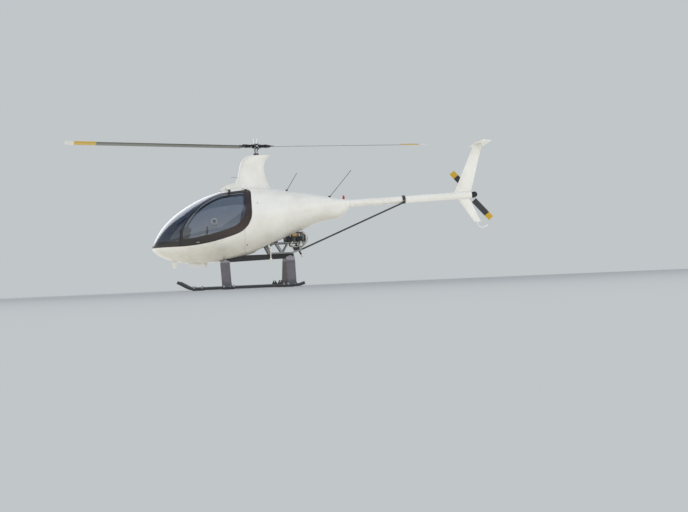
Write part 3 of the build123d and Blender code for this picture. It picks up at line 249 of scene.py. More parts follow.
@dataclass(frozen=True)
class Finish:
    """A surface finish: a mottled base, layers of colour over it, and a bumped surface.

    It builds its material once and hands it out.
    """

    name: str
    slot: str
    base: Hue
    mottle: Hue
    rough: float = 0.4
    metallic: float = 0.0
    coat: float = 0.0
    sheen: float = 0.0
    blotch_mm: float = 120.0
    surface: Surface = Surface.GRAIN
    grain_mm: float = 3.0
    depth_mm: float = 0.03
    gloss_mm: float = 35.0
    layers: tuple[Layer, ...] = ()

    def material(self) -> Material:
        """Gives the finish's material, built on first use.

        Returns:
            The material.
        """
        found = bpy.data.materials.get(self.name)
        if found is None:
            found = bpy.data.materials.new(self.name)
            found.use_nodes = True
            found.node_tree.nodes.clear()
            surface = self.shader(found.node_tree)
            output = found.node_tree.nodes.new("ShaderNodeOutputMaterial")
            found.node_tree.links.new(surface, output.inputs["Surface"])
        return found

    def dress(self, piece: Piece) -> None:
        """Gives a piece this finish alone."""
        piece.data.materials.clear()
        piece.data.materials.append(self.material())

    def blotches(self, tree: Tree, grain_mm: float, detail: float = 4.0) -> Socket:
        """Gives even blotches of one size, from 0 to 1.

        Args:
            tree: The material's tree.
            grain_mm: Size of the largest blotches.
            detail: How many finer sizes break them up.

        Returns:
            The field.
        """
        spot = add(tree, "TexCoord", "Object")
        inputs = {"Vector": spot, "Scale": 1 / (grain_mm * MM), "Detail": detail, "Roughness": 0.6}
        return add(tree, "TexNoise", "Fac", inputs)

    def ridges(self, tree: Tree, axes: str) -> Socket:
        """Gives ridges, one grain apart, across the sum of some axes, from -1 to 1.

        Args:
            tree: The material's tree.
            axes: Letters of the axes.

        Returns:
            The field.
        """
        spot = add(tree, "TexCoord", "Object")
        total: Socket | float = 0.0
        for letter in axes:
            part = add(tree, "SeparateXYZ", letter, {"Vector": spot})
            total = add(tree, "Math", 0, {0: part, 1: total}, operation="ADD")
        turn = 2 * math.pi / (self.grain_mm * MM)
        angle = add(tree, "Math", 0, {0: total, 1: turn}, operation="MULTIPLY")
        return add(tree, "Math", 0, {0: angle}, operation="SINE")

    def threads(self, tree: Tree) -> Socket:
        """Gives crossed threads, from -1 to 1."""
        ways = {0: self.ridges(tree, "Y"), 1: self.ridges(tree, "XZ")}
        return add(tree, "Math", 0, ways, operation="MULTIPLY")

    def axis_distance(self, tree: Tree, centre: Sequence[float | None]) -> Socket:
        """Gives the distance from a spot, leaving out each axis whose value in centre is None.

        Args:
            tree: The material's tree.
            centre: The spot, in metres.

        Returns:
            The distance.
        """
        spot = add(tree, "TexCoord", "Object")
        kept = [0.0 if c is None else 1.0 for c in centre]
        flat = add(tree, "VectorMath", "Vector", {0: spot, 1: kept}, operation="MULTIPLY")
        heart = [c or 0.0 for c in centre]
        return add(tree, "VectorMath", "Value", {0: flat, 1: heart}, operation="DISTANCE")

    def read(self, tree: Tree, layer: Layer) -> Socket:
        """Gives the field that a layer's strength is read from.

        Args:
            tree: The material's tree.
            layer: The layer.

        Returns:
            The field.
        """
        axes = {Where.AFT: "X", Where.ABEAM: "Y", Where.HEIGHT: "Z", Where.UPWARD: "Z"}
        if layer.where in axes:
            source = "Normal" if layer.where is Where.UPWARD else "Object"
            value = add(tree, "SeparateXYZ", axes[layer.where], {0: add(tree, "TexCoord", source)})
            if layer.where is Where.ABEAM:
                value = add(tree, "Math", 0, {0: value}, operation="ABSOLUTE")
        elif layer.where is Where.MAST:
            value = self.axis_distance(tree, (MAST_X, 0.0, None))
        elif layer.where is Where.TAIL_SHAFT:
            value = self.axis_distance(tree, (TAIL_HUB[0], None, TAIL_HUB[2]))
        elif layer.where is Where.OUTLET:
            value = self.axis_distance(tree, at(*OUTLET))
        elif layer.where is Where.THREADS:
            value = self.threads(tree)
        else:
            value = self.blotches(tree, layer.grain_mm)
        if layer.centre is None:
            return value
        off = add(tree, "Math", 0, {0: value, 1: layer.centre}, operation="SUBTRACT")
        return add(tree, "Math", 0, {0: off}, operation="ABSOLUTE")

    def colour(self, tree: Tree) -> Socket:
        """Gives the colour over the surface: the mottled base and then each layer.

        Args:
            tree: The material's tree.

        Returns:
            The colour.
        """
        base = Layer(self.mottle, Where.BLOTCHES, 0.35, 0.75, grain_mm=self.blotch_mm)
        colour: Socket | Hue = self.base
        for layer in (base, *self.layers):
            inputs = {
                "Value": self.read(tree, layer),
                "From Min": layer.low, "From Max": layer.high, "To Min": layer.start, "To Max": layer.end,
            }
            share = add(tree, "MapRange", "Result", inputs, interpolation_type="SMOOTHSTEP")
            if layer.grain_mm and layer.where is not Where.BLOTCHES:
                broken = {0: share, 1: self.blotches(tree, layer.grain_mm)}
                share = add(tree, "Math", 0, broken, operation="MULTIPLY")
            colour = add(tree, "Mix", 2, {0: share, 6: colour, 7: layer.hue}, data_type="RGBA")
        return colour

    def relief(self, tree: Tree) -> Socket:
        """Gives the normal over the surface.

        Args:
            tree: The material's tree.

        Returns:
            The normal.
        """
        if self.surface is Surface.WEAVE:
            height = self.threads(tree)
        elif self.surface is Surface.FINS:
            height = self.ridges(tree, "Z")
        else:
            height = self.blotches(tree, self.grain_mm, 2.0)
        inputs = {"Height": height, "Distance": self.depth_mm * MM, "Strength": 1.0}
        return add(tree, "Bump", "Normal", inputs)

    def shader(self, tree: Tree) -> Socket:
        """Builds the shader.

        Args:
            tree: The material's tree.

        Returns:
            The shader's output.
        """
        gloss = {"Value": self.blotches(tree, self.gloss_mm), "From Min": 0.2, "From Max": 0.8}
        limits = {"To Min": self.rough * 0.8, "To Max": min(1.0, self.rough * 1.25)}
        inputs = {
            "Base Color": self.colour(tree),
            "Metallic": self.metallic,
            "Roughness": add(tree, "MapRange", "Result", {**gloss, **limits}),
            "Coat Weight": self.coat,
            "Coat Roughness": 0.05,
            "Sheen Weight": self.sheen,
            "Normal": self.relief(tree),
        }
        return add(tree, "BsdfPrincipled", "BSDF", inputs)


@dataclass(frozen=True)
class Acrylic(Finish):
    """Smoke-tinted acrylic that mirrors its surroundings at a low angle, painted below a height."""

    painted_below: float = 0.0
    paint_edge: float = 0.003
    haze_mm: float = 260.0
    least_mirror: float = 0.085
    steepness: float = 4.0

    def shader(self, tree: Tree) -> Socket:
        """Builds the shader.

        Args:
            tree: The material's tree.

        Returns:
            The shader's output.
        """
        clear = add(tree, "BsdfTransparent", "BSDF", {"Color": self.base})
        haze = {
            "Value": self.blotches(tree, self.haze_mm),
            "From Min": 0.3, "From Max": 0.8, "To Min": 0.02, "To Max": 0.07,
        }
        mirror = {
            "Base Color": Hue.MIRROR,
            "Metallic": 1.0,
            "Roughness": add(tree, "MapRange", "Result", haze),
        }
        facing = add(tree, "LayerWeight", "Facing", {"Blend": 0.5})
        grazing = add(tree, "Math", 0, {0: facing, 1: self.steepness}, operation="POWER")
        limits = {"Value": grazing, "To Min": self.least_mirror, "To Max": 1.0}
        mirrored = add(tree, "MapRange", "Result", limits)
        shine = add(tree, "BsdfPrincipled", "BSDF", mirror)
        glaze = add(tree, "MixShader", "Shader", {"Fac": mirrored, 1: clear, 2: shine})
        if not self.painted_below:
            return glaze
        height = add(tree, "SeparateXYZ", "Z", {0: add(tree, "TexCoord", "Object")})
        edge = {"From Min": self.painted_below, "From Max": self.painted_below + self.paint_edge}
        share = add(tree, "MapRange", "Result", {"Value": height, **edge, "To Min": 1.0, "To Max": 0.0})
        paint = {"Base Color": BORDER.colour(tree), "Roughness": 0.25, "Coat Weight": 0.5}
        enamel = add(tree, "BsdfPrincipled", "BSDF", paint)
        return add(tree, "MixShader", "Shader", {"Fac": share, 1: glaze, 2: enamel})


# Gelcoat is sprayed in a mould: gloss with a faint orange peel, greyer in blotches where it faces down, and
# sooty near the tailpipe. A thin dark joint shows where shell and cowl meet.
# Greyer in blotches where the surface faces down, the more so the further down it faces.
FACING_DOWN_DARKER = Layer(Hue.GRIME, Where.UPWARD, -0.95, -0.2, 0.6, 0.0, grain_mm=90)
SOOT = Layer(Hue.SOOT, Where.OUTLET, 0.15, 1.1, 0.5, 0.0, grain_mm=60)
JOINT = Layer(Hue.SEAM, Where.AFT, 0.0008, 0.0018, 1.0, 0.0, centre=MAST_X - 0.262)
GELCOAT = Finish(
    "white_gelcoat", "white_gelcoat", Hue.GELCOAT, Hue.GELCOAT_SHADE,
    rough=0.3, coat=0.6, blotch_mm=300, grain_mm=4, layers=(FACING_DOWN_DARKER, SOOT),
)
PANEL_GELCOAT = Finish(
    "jointed_white_gelcoat", "white_gelcoat", Hue.GELCOAT, Hue.GELCOAT_SHADE,
    rough=0.3, coat=0.6, blotch_mm=300, grain_mm=4, layers=(FACING_DOWN_DARKER, SOOT, JOINT),
)
CLEAN_GELCOAT = Finish(
    "clean_white_gelcoat", "white_gelcoat", Hue.GELCOAT, Hue.GELCOAT_SHADE,
    rough=0.3, coat=0.6, blotch_mm=300, grain_mm=4,
)
WHITE_ENAMEL = Finish("white_enamel", "white_gelcoat", Hue.GELCOAT, Hue.GELCOAT_SHADE, rough=0.35)
# The border is sprayed black and has faded brown towards the rear; the hinge arms above it are white.
FADED = Layer(Hue.BORDER_WARM, Where.AFT, -1.6, -0.8, 0.0, 0.9)
HINGE_ARMS = Layer(Hue.GELCOAT, Where.HEIGHT, 1.653, 1.656)
BORDER = Finish(
    "dark_border_paint", "door_band", Hue.BORDER, Hue.BORDER,
    rough=0.3, coat=0.4, layers=(FADED, HINGE_ARMS),
)
# Acrylic is heat-formed: see-through and smoke-grey, with a soft haze in what it mirrors.
SCREEN = Acrylic("windscreen_acrylic", "glazing", Hue.SCREEN_SMOKE, Hue.BORDER, painted_below=0.820)
GLAZING = Acrylic("door_acrylic", "glazing", Hue.SMOKE, Hue.BORDER)
# Paint brushed on tube is satin. The dark tubes carry a painted highlight along the upper side; the grey tube
# enamel turns paler steel grey along its upper side, in blotches.
# Painted highlight: the upward faces of the dark tubes turn pale grey, in blotches.
TOP_PAINTED_HIGHLIGHT = Layer(Hue.SKID_WORN, Where.UPWARD, 0.2, 1.0, 0.0, 0.8, grain_mm=26)
DARK_TUBE = Finish("satin_dark_paint", "dark_tube", Hue.SKID, Hue.MOULDING_WORN, rough=0.45, layers=(TOP_PAINTED_HIGHLIGHT,))
# Paler steel grey on the upward faces of the grey tubes, in blotches.
TUBE_PALER_ON_TOP = Layer(Hue.STEEL, Where.UPWARD, 0.2, 1.0, 0.0, 0.6, grain_mm=20)
TRUSS = Finish("grey_tube_enamel", "truss_grey", Hue.TRUSS, Hue.CASTING, layers=(TUBE_PALER_ON_TOP,))
# Satin paint on the legs: paler in blotches at the head, scuffed dark at the foot.
# Paler grey in blotches above the head's height.
PALE_LEG_HEAD = Layer(Hue.LEG_PALE, Where.HEIGHT, 0.425, 0.455, grain_mm=14)
SCUFFED = Layer(Hue.SKID, Where.HEIGHT, 0.06, 0.16, 1.0, 0.0, grain_mm=30)
LEG_PAINT = Finish("satin_grey_paint", "leg_grey", Hue.LEG, Hue.LEG_DARK, layers=(PALE_LEG_HEAD, SCUFFED))
# Anodised alloy is even and dark, with machined plates left bright on top.
BRIGHT_TOP = Layer(Hue.ALLOY, Where.HEIGHT, HUB_Z + 0.042, HUB_Z + 0.044)
HEAD = Finish("anodised_head", "bare_metal", Hue.HUB, Hue.MOULDING_WORN, 0.35, 0.7, layers=(BRIGHT_TOP,))
ALLOY = Finish("machined_aluminium", "bare_metal", Hue.ALLOY, Hue.STEEL, 0.3, 1.0, blotch_mm=30)
STEEL = Finish("ground_steel", "steel", Hue.STEEL, Hue.ALLOY, 0.25, 1.0, blotch_mm=30)
ZINC = Finish("zinc_plated_steel", "steel", Hue.ALLOY, Hue.TRUSS, 0.35, 1.0, blotch_mm=15)
# Sand casting leaves a coarse skin that holds oil; the cylinders are baked dark.
OIL = Layer(Hue.CASTING_DARK, Where.BLOTCHES, 0.5, 0.75, 0.0, 0.6, grain_mm=45)
BAKED = Layer(Hue.CASTING_DARK, Where.ABEAM, 0.101, 0.106)
STARTER = Layer(Hue.CASTING_DARK, Where.AFT, 0.212, 0.216)
CASTING = Finish(
    "cast_aluminium", "cast_alloy", Hue.CASTING, Hue.STEEL, 0.55, 0.8,
    grain_mm=1.5, depth_mm=0.25, layers=(OIL, BAKED, STARTER),
)
# Stainless pipe takes a straw tint and then a blue one where it is hottest.
STRAW = Layer(Hue.HEAT_STRAW, Where.HEIGHT, 0.88, 0.90, grain_mm=40)
BLUED = Layer(Hue.HEAT_BLUE, Where.HEIGHT, 0.900, 0.92, 0.0, 0.7)
STAINLESS = Finish(
    "stainless_tube", "exhaust_steel", Hue.STAINLESS, Hue.STEEL, 0.35, 0.75, layers=(STRAW, BLUED)
)
# Blade enamel in bands: a pale blade with a dark root and yellow before a pale tip; its underside is painted
# greenish dark grey as painted shade, tinted as a painted reflection of grass.
BLADE_BANDS = (
    # Painted shade: the downward faces of the blades turn greenish dark grey.
    Layer(Hue.BLADE_UNDER, Where.UPWARD, -0.25, 0.15, 1.0, 0.0),
    Layer(Hue.BLADE_ROOT, Where.MAST, 0.300, 0.303, 1.0, 0.0),
    Layer(Hue.YELLOW, Where.MAST, 2.639, 2.641),
    Layer(Hue.TIP, Where.MAST, 2.984, 2.986),
)
BLADE = Finish("blade_enamel", "blade_paint", Hue.BLADE, Hue.TIP, layers=BLADE_BANDS)
TAIL_TIP = Layer(Hue.YELLOW, Where.TAIL_SHAFT, 0.424, 0.426)
TAIL_BLADE = Finish("tail_blade_enamel", "tail_blade_paint", Hue.TAIL_BLADE, Hue.SKID, layers=(TAIL_TIP,))
# Plain-woven cloth; the threads are drawn 2 mm apart, coarser than real ones, so that they show.
LIT_THREADS = Layer(Hue.CLOTH_LIGHT, Where.THREADS, -0.6, 0.8, 0.0, 0.5)
CLOTH = Finish(
    "woven_seat_cloth", "seat_cloth", Hue.CLOTH, Hue.CLOTH_LIGHT, 0.85, sheen=0.35, blotch_mm=60,
    surface=Surface.WEAVE, grain_mm=2.0, depth_mm=0.3, layers=(LIT_THREADS,),
)
WEBBING = Finish(
    "belt_webbing", "seat_cloth", Hue.WEBBING, Hue.MOULDING_WORN, 0.8, sheen=0.2,
    surface=Surface.WEAVE, grain_mm=2.4, depth_mm=0.3,
)
# Moulded plastic has a fine leathery grain and greys where it is handled.
MOULDING = Finish(
    "grained_moulding", "black_plastic", Hue.MOULDING, Hue.MOULDING_WORN, 0.6, grain_mm=1.2, depth_mm=0.12
)
PALE_MOULDING = Finish(
    "pale_moulding", "black_plastic", Hue.PALE_MOULDING, Hue.TRUSS, 0.5, grain_mm=1.2, depth_mm=0.1
)
SEAT_SHELL = Finish(
    "seat_shell_moulding", "black_plastic", Hue.SHELL, Hue.SHELL_WORN, 0.5, grain_mm=1.5, depth_mm=0.15
)
# Rubber is matt and hardly shines; the radiator's fins stand 3 mm apart, wider than real ones, to show.
RUBBER = Finish("black_rubber", "black_plastic", Hue.RUBBER, Hue.MOULDING_WORN, 0.75, grain_mm=2.0)
RADIATOR = Finish(
    "radiator_core", "black_plastic", Hue.MOULDING_WORN, Hue.CASTING_DARK, 0.5, 0.5,
    surface=Surface.FINS, grain_mm=3.0, depth_mm=0.6,
)
# Blown polythene is waxy and yellows with heat; a lens is smooth and shines.
BOTTLE = Finish("amber_polythene", "black_plastic", Hue.AMBER, Hue.AMBER_PALE, 0.3, coat=0.3, blotch_mm=30)
LENS = Finish("red_lens", "lamp_red", Hue.LENS_RED, Hue.LENS_PALE, 0.1, coat=0.8, blotch_mm=12)
# Composite panels keep the print of their glass cloth under matt paint; dials lie under clear glass.
PANEL = Finish(
    "painted_composite", "floor_composite", Hue.FLOOR_PANEL, Hue.FLOOR_PANEL_DARK, 0.7,
    grain_mm=5, depth_mm=0.3,
)
DIAL = Finish("dial_face", "black_plastic", Hue.DIAL, Hue.MOULDING, 0.15, coat=0.8)
DIAL_MARKS = Finish("dial_marks", "black_plastic", Hue.TICK, Hue.ALLOY, 0.5)

NODE_FINISHES: dict[Finish, str] = {
    GELCOAT: "belly_fittings",
    CLEAN_GELCOAT: "roof_spine mast_fairing upper_fin lower_fin tailplane tail_boom",
    PANEL_GELCOAT: "cabin_shell rear_cowl",
    WHITE_ENAMEL: "side_post tail_bumper",
    SCREEN: "windscreen",
    GLAZING: "door_pane_left door_pane_right",
    BORDER: "door_frame_left door_frame_right",
    DARK_TUBE: (
        "keel_beam skids skid_shoes wheel_brackets boom_struts front_cross_tube rear_cross_tube muffler"
    ),
    LEG_PAINT: "gear_legs",
    TRUSS: "truss_frame",
    CASTING: "main_gearbox engine tail_gearbox",
    HEAD: "rotor_hub",
    ALLOY: "tail_hub",
    STEEL: "mast pitot_tube",
    STAINLESS: "exhaust_pipe",
    BLADE: "main_blades",
    TAIL_BLADE: "tail_blades",
    CLOTH: "seat_cushions back_cushions",
    MOULDING: "control_sticks pedals collective_lever whip_antennas",
    SEAT_SHELL: "seat_shells instrument_pod",
    PALE_MOULDING: "door_vent_left door_vent_right",
    RADIATOR: "radiator",
    LENS: "beacon",
    PANEL: "cabin_floor rear_bulkhead",
}


def eased(points: Sequence[Vector], steps: int = 6) -> list[Vector]:
    """Runs a smooth line through the points of a hose or a bent pipe.

    Args:
        points: The points that it passes through.
        steps: Pieces to each run between two points.

    Returns:
        Points along the line.
    """
    ends = [points[0], *points, points[-1]]
    line = [points[0]]
    for before, start, end, after in zip(ends, ends[1:], ends[2:], ends[3:]):
        leave, arrive = start + (end - before) / 6, end - (after - start) / 6
        line += interpolate_bezier(start, leave, arrive, end, steps + 1)[1:]
    return line


class Skin:
    """The outside of some nodes, to seat small pieces on."""

    def __init__(self, *nodes: Piece) -> None:
        """Takes the nodes' meshes.

        Args:
            nodes: The nodes that make up the skin.
        """
        bm = bmesh.new()
        for node in nodes:
            bm.from_mesh(node.data)
        self.tree = BVHTree.FromBMesh(bm)
        bm.free()

    def seat(self, start: Vector, towards: Row) -> tuple[Vector, Vector] | None:
        """Finds where a line first meets the skin.

        Args:
            start: Where the line starts.
            towards: Its direction.

        Returns:
            The spot and its outward normal, or nothing where the line misses.
        """
        spot, normal, _, _ = self.tree.ray_cast(start, Vector(towards))
        if spot is None:
            return None
        return spot, normal if normal.dot(Vector(towards)) < 0 else -normal


class Mould:
    """A mesh under construction, in metres, that becomes a piece riding on a body."""

    sharp_deg = 32

    def __init__(self) -> None:
        """Starts with nothing in it."""
        self.bm = bmesh.new()

    def join(self, part: bmesh.types.BMesh, matrix: Matrix | None = None) -> None:
        """Merges a finished shape in.

        Args:
            part: The shape, which is used up.
            matrix: Where it goes.
        """
        bmesh.ops.remove_doubles(part, verts=part.verts, dist=1e-6)
        bmesh.ops.recalc_face_normals(part, faces=part.faces)
        if matrix is not None:
            bmesh.ops.transform(part, matrix=matrix, verts=part.verts)
        mesh = bpy.data.meshes.new("part")
        part.to_mesh(mesh)
        part.free()
        self.bm.from_mesh(mesh)
        bpy.data.meshes.remove(mesh)

    def turned(self, place: Vector, axis: Row, profile: Sequence[Row], sides: int = 20) -> None:
        """Adds a turned shape.

        Args:
            place: The foot of its axis.
            axis: The direction of its axis.
            profile: Heights and radii from the foot up, in millimetres.
            sides: Facets round it: six makes a bolt's head.
        """
        part = bmesh.new()
        line = [(profile[0][0], 0.0), *profile, (profile[-1][0], 0.0)]
        verts = [part.verts.new((radius * MM, 0, height * MM)) for height, radius in line]
        edges = [part.edges.new(pair) for pair in zip(verts, verts[1:])]
        bmesh.ops.spin(
            part, geom=[*verts, *edges], axis=UP, cent=(0, 0, 0), dvec=(0, 0, 0),
            angle=2 * math.pi, steps=sides, use_merge=True,
        )
        stand = Matrix.Translation(place) @ UP.rotation_difference(Vector(axis)).to_matrix().to_4x4()
        self.join(part, stand)

    def bolt(self, place: Vector, axis: Row, across: float = 13.0) -> None:
        """Adds a hex bolt's head on its washer, seated at a place.

        Args:
            place: Where its washer sits.
            axis: The way that it points out.
            across: Width across its flats, in millimetres.
        """
        wide, tall = across * HEX_CORNER, across * 0.6
        self.turned(place, axis, [(0, wide * 1.25), (across * 0.12, wide * 1.25)])
        head = [(across * 0.12, wide), (tall, wide), (tall + across * 0.06, wide * 0.8)]
        self.turned(place, axis, head, 6)

    def screw(self, place: Vector, axis: Row, radius: float = 4.5) -> None:
        """Adds a pan-head screw with its driver's recess."""
        dome = [(-0.5, radius), (radius * 0.2, radius * 0.95), (radius * 0.4, radius * 0.6)]
        self.turned(place, axis, [*dome, (radius * 0.4, radius * 0.35), (radius * 0.15, radius * 0.3)], 14)

    def swept(self, points: Sequence[Vector], radius: float, sides: int = 12, flat: float = 1.0) -> None:
        """Adds a tube along a line.

        Args:
            points: The line, in metres.
            radius: Its radius, in millimetres.
            sides: Facets round it.
            flat: How thick it is for its width, 1 for a round tube.
        """
        part = bmesh.new()
        ahead = points[1] - points[0]
        frame = Matrix.Translation(points[0]) @ ahead.to_track_quat("Z", "Y").to_matrix().to_4x4()
        ring = bmesh.ops.create_circle(part, cap_ends=True, radius=radius * MM, segments=sides)["verts"]
        bmesh.ops.scale(part, vec=(1, flat, 1), verts=ring)
        bmesh.ops.transform(part, matrix=frame, verts=ring)
        edges = list(part.edges)
        for index, spot in enumerate(points[1:], 1):
            after = points[min(index + 1, len(points) - 1)] - points[index - 1]
            bend = ahead.rotation_difference(after).to_matrix().to_4x4()
            grown = bmesh.ops.extrude_edge_only(part, edges=edges)["geom"]
            ring = [item for item in grown if isinstance(item, bmesh.types.BMVert)]
            edges = [item for item in grown if isinstance(item, bmesh.types.BMEdge)]
            move = Matrix.Translation(spot) @ bend @ Matrix.Translation(-points[index - 1])
            bmesh.ops.transform(part, matrix=move, verts=ring)
            ahead = after
        bmesh.ops.contextual_create(part, geom=edges)
        self.join(part)

    def block(self, centre: Vector, size: Row, bevel: float = 2.0, turn: Matrix | None = None) -> None:
        """Adds a block with eased edges.

        Args:
            centre: Its middle.
            size: Its length, width and height in millimetres.
            bevel: Radius of its edges, in millimetres.
            turn: How it is turned about its middle.
        """
        part = bmesh.new()
        bmesh.ops.create_cube(part, size=1.0)
        bmesh.ops.scale(part, vec=[side * MM for side in size], verts=part.verts)
        bmesh.ops.bevel(
            part, geom=part.edges, offset=bevel * MM, offset_type="OFFSET", affect="EDGES",
            segments=3, profile=0.5, material=-1,
        )
        self.join(part, Matrix.Translation(centre) @ (turn or Matrix.Identity(4)))

    def piece(self, name: str, body: Body, finish: Finish) -> Piece:
        """Makes the piece.

        Args:
            name: Its name.
            body: The body that it rides on.
            finish: Its finish.

        Returns:
            The piece.
        """
        mesh = bpy.data.meshes.new(name)
        self.bm.to_mesh(mesh)
        self.bm.free()
        for face in mesh.polygons:
            face.use_smooth = True
        mesh.set_sharp_from_angle(angle=math.radians(self.sharp_deg))
        piece = bpy.data.objects.new(name, mesh)
        bpy.context.scene.collection.objects.link(piece)
        finish.dress(piece)
        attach(piece, body.value)
        return piece


@dataclass
class Cushions:
    """Padded seat and back cushions, each swollen from its own plain form."""

    nodes: dict[str, Piece]
    voxel: float = 0.006
    inset: float = 0.008
    pressure: float = 4.0
    frames: int = 20
    reach: float = 0.014
    channel_depth: float = 0.006
    channel_half: float = 0.008

    def plain(self, node: Piece) -> Piece:
        """Copies the starboard cushion out of a node, a little smaller all round.

        Args:
            node: The node that holds the cushions of both seats.

        Returns:
            The copy.
        """
        bm = bmesh.new()
        bm.from_mesh(node.data)
        bmesh.ops.remove_doubles(bm, verts=bm.verts, dist=1e-5)
        bmesh.ops.delete(bm, geom=[v for v in bm.verts if v.co.y < 0], context="VERTS")
        low = Vector([min(v.co[i] for v in bm.verts) for i in range(3)])
        high = Vector([max(v.co[i] for v in bm.verts) for i in range(3)])
        middle, size = (low + high) / 2, high - low
        shrink = [1 - 2 * self.inset / length for length in size]
        bmesh.ops.scale(bm, vec=shrink, space=Matrix.Translation(-middle), verts=bm.verts)
        mesh = bpy.data.meshes.new("cushion")
        bm.to_mesh(mesh)
        bm.free()
        piece = bpy.data.objects.new("cushion", mesh)
        bpy.context.scene.collection.objects.link(piece)
        return piece

    def applied(self, piece: Piece) -> None:
        """Makes what the modifiers show into the piece's own mesh.

        Args:
            piece: The piece, which loses its modifiers.
        """
        depsgraph = bpy.context.evaluated_depsgraph_get()
        shown = bpy.data.meshes.new_from_object(piece.evaluated_get(depsgraph))
        piece.modifiers.clear()
        piece.data = shown

    def swell(self, piece: Piece) -> None:
        """Blows the cushion up against its cloth, with no point moving past the reach.

        Args:
            piece: The cushion.
        """
        remesh = piece.modifiers.new("remesh", "REMESH")
        remesh.mode = "VOXEL"
        remesh.voxel_size = self.voxel
        self.applied(piece)
        start = [v.co.copy() for v in piece.data.vertices]
        cloth = piece.modifiers.new("cloth", "CLOTH")
        cloth.settings.use_pressure = True
        cloth.settings.uniform_pressure_force = self.pressure
        cloth.settings.effector_weights.gravity = 0.0
        for frame in range(1, self.frames + 1):
            bpy.context.scene.frame_set(frame)
        self.applied(piece)
        bpy.context.scene.frame_set(1)
        for vertex, before in zip(piece.data.vertices, start):
            moved = vertex.co - before
            if moved.length > self.reach:
                vertex.co = before + moved * (self.reach / moved.length)

    def sew(self, piece: Piece, channels: Sequence[Row]) -> None:
        """Presses sewn channels in.

        Args:
            piece: The cushion.
            channels: For each channel, a point on it and the direction across it.
        """
        normals = [v.normal.copy() for v in piece.data.vertices]
        for vertex, normal in zip(piece.data.vertices, normals):
            for x, y, z, across_x, across_y, across_z in channels:
                across = Vector((across_x, across_y, across_z)).normalized()
                off = (vertex.co - Vector((x, y, z))).dot(across) / self.channel_half
                vertex.co -= normal * self.channel_depth * math.exp(-off * off)

    def cushion(self, node: str, name: str) -> list[Piece]:
        """Makes the cushions of both seats from one node.

        Args:
            node: The node that they stand for.
            name: What they are called.

        Returns:
            The starboard and the port cushion.
        """
        right = self.plain(self.nodes[node])
        low, high = [Vector(corner) for corner in (right.bound_box[0], right.bound_box[6])]
        self.swell(right)
        middle = (low + high) / 2
        reach = (high - low) / 4
        rows = [(*(middle + Vector((0, side * reach.y, 0))), 0, 1, 0) for side in (-1, 1)]
        lean = Vector((1, 0, 0)) if node == "seat_cushions" else Vector((0, 0, 1))
        rows += [(*(middle + lean * step * reach.dot(lean)), *lean) for step in (-1, 1)]
        self.sew(right, rows)
        left_mesh = right.data.copy()
        left_mesh.transform(Matrix.Scale(-1, 4, (0, 1, 0)))
        left_mesh.flip_normals()
        left = bpy.data.objects.new(name + "_left", left_mesh)
        bpy.context.scene.collection.objects.link(left)
        right.name = name + "_right"
        for piece in (right, left):
            for face in piece.data.polygons:
                face.use_smooth = True
            smooth = piece.modifiers.new("smooth", "SUBSURF")
            smooth.levels = smooth.render_levels = 1
            CLOTH.dress(piece)
            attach(piece, Body.AIRFRAME.value)
            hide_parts(node)
        return [right, left]

    def build(self) -> list[Piece]:
        """Makes the four cushions."""
        return [*self.cushion("seat_cushions", "seat_pad"), *self.cushion("back_cushions", "back_pad")]


@dataclass
class DoorGear:
    """Small pieces of one gull-wing door: hinge bolts, vent knob and screws, latch lever."""

    nodes: dict[str, Piece]
    side: str
    pin_y: float = 238.0
    pin_z: float = 1672.0
    pin_ends: Rows = ((-536, -1), (-464, 1), (-266, -1), (-194, 1))
    pin_bolt: float = 14.0
    vent: tuple[float, float] = (-751, 1115)
    vent_screws: int = 6
    vent_screw_r: float = 45.5
    knob: Rows = ((-1, 13), (3, 13), (5, 10), (12, 8), (15, 6))
    latch: tuple[float, float] = (-1046, 789)
    lever: Row = (58, 8, 11)
    lever_offset: Row = (0.022, 0, 0)
    lever_rise: float = 0.004

    def seat(self, skin: Skin, station: float, z: float) -> tuple[Vector, Vector] | None:
        """Finds a spot on the door's outside."""
        hand = SIDES[self.side]
        return skin.seat(at(station, hand * FAR / MM, z), (0, -hand, 0))

    def build(self) -> list[Piece]:
        """Makes the door's small pieces.

        Returns:
            The pieces.
        """
        hand = SIDES[self.side]
        body = Body["DOOR_" + self.side.upper()]
        skin = Skin(*[self.nodes[f"door_{part}_{self.side}"] for part in ("pane", "vent", "frame")])
        pins, trim, knobs = Mould(), Mould(), Mould()
        for station, way in self.pin_ends:
            pins.bolt(at(station, hand * self.pin_y, self.pin_z), (way, 0, 0), self.pin_bolt)
        for step in range(self.vent_screws):
            turn = 2 * math.pi * (step + 0.5) / self.vent_screws
            place = [c + self.vent_screw_r * f(turn) for c, f in zip(self.vent, (math.cos, math.sin))]
            if found := self.seat(skin, *place):
                trim.screw(*found, 2.6)
        if found := self.seat(skin, *self.vent):
            knobs.turned(*found, self.knob, 18)
        if found := self.seat(skin, *self.latch):
            spot, normal = found
            trim.bolt(spot, normal, 8)
            turn = Vector((0, hand, 0)).rotation_difference(normal).to_matrix().to_4x4()
            trim.block(spot + normal * self.lever_rise + Vector(self.lever_offset), self.lever, 3, turn)
        return [
            pins.piece(f"hinge_bolts_{self.side}", Body.AIRFRAME, ZINC),
            trim.piece(f"door_screws_{self.side}", body, ZINC),
            knobs.piece(f"door_knobs_{self.side}", body, MOULDING),
        ]


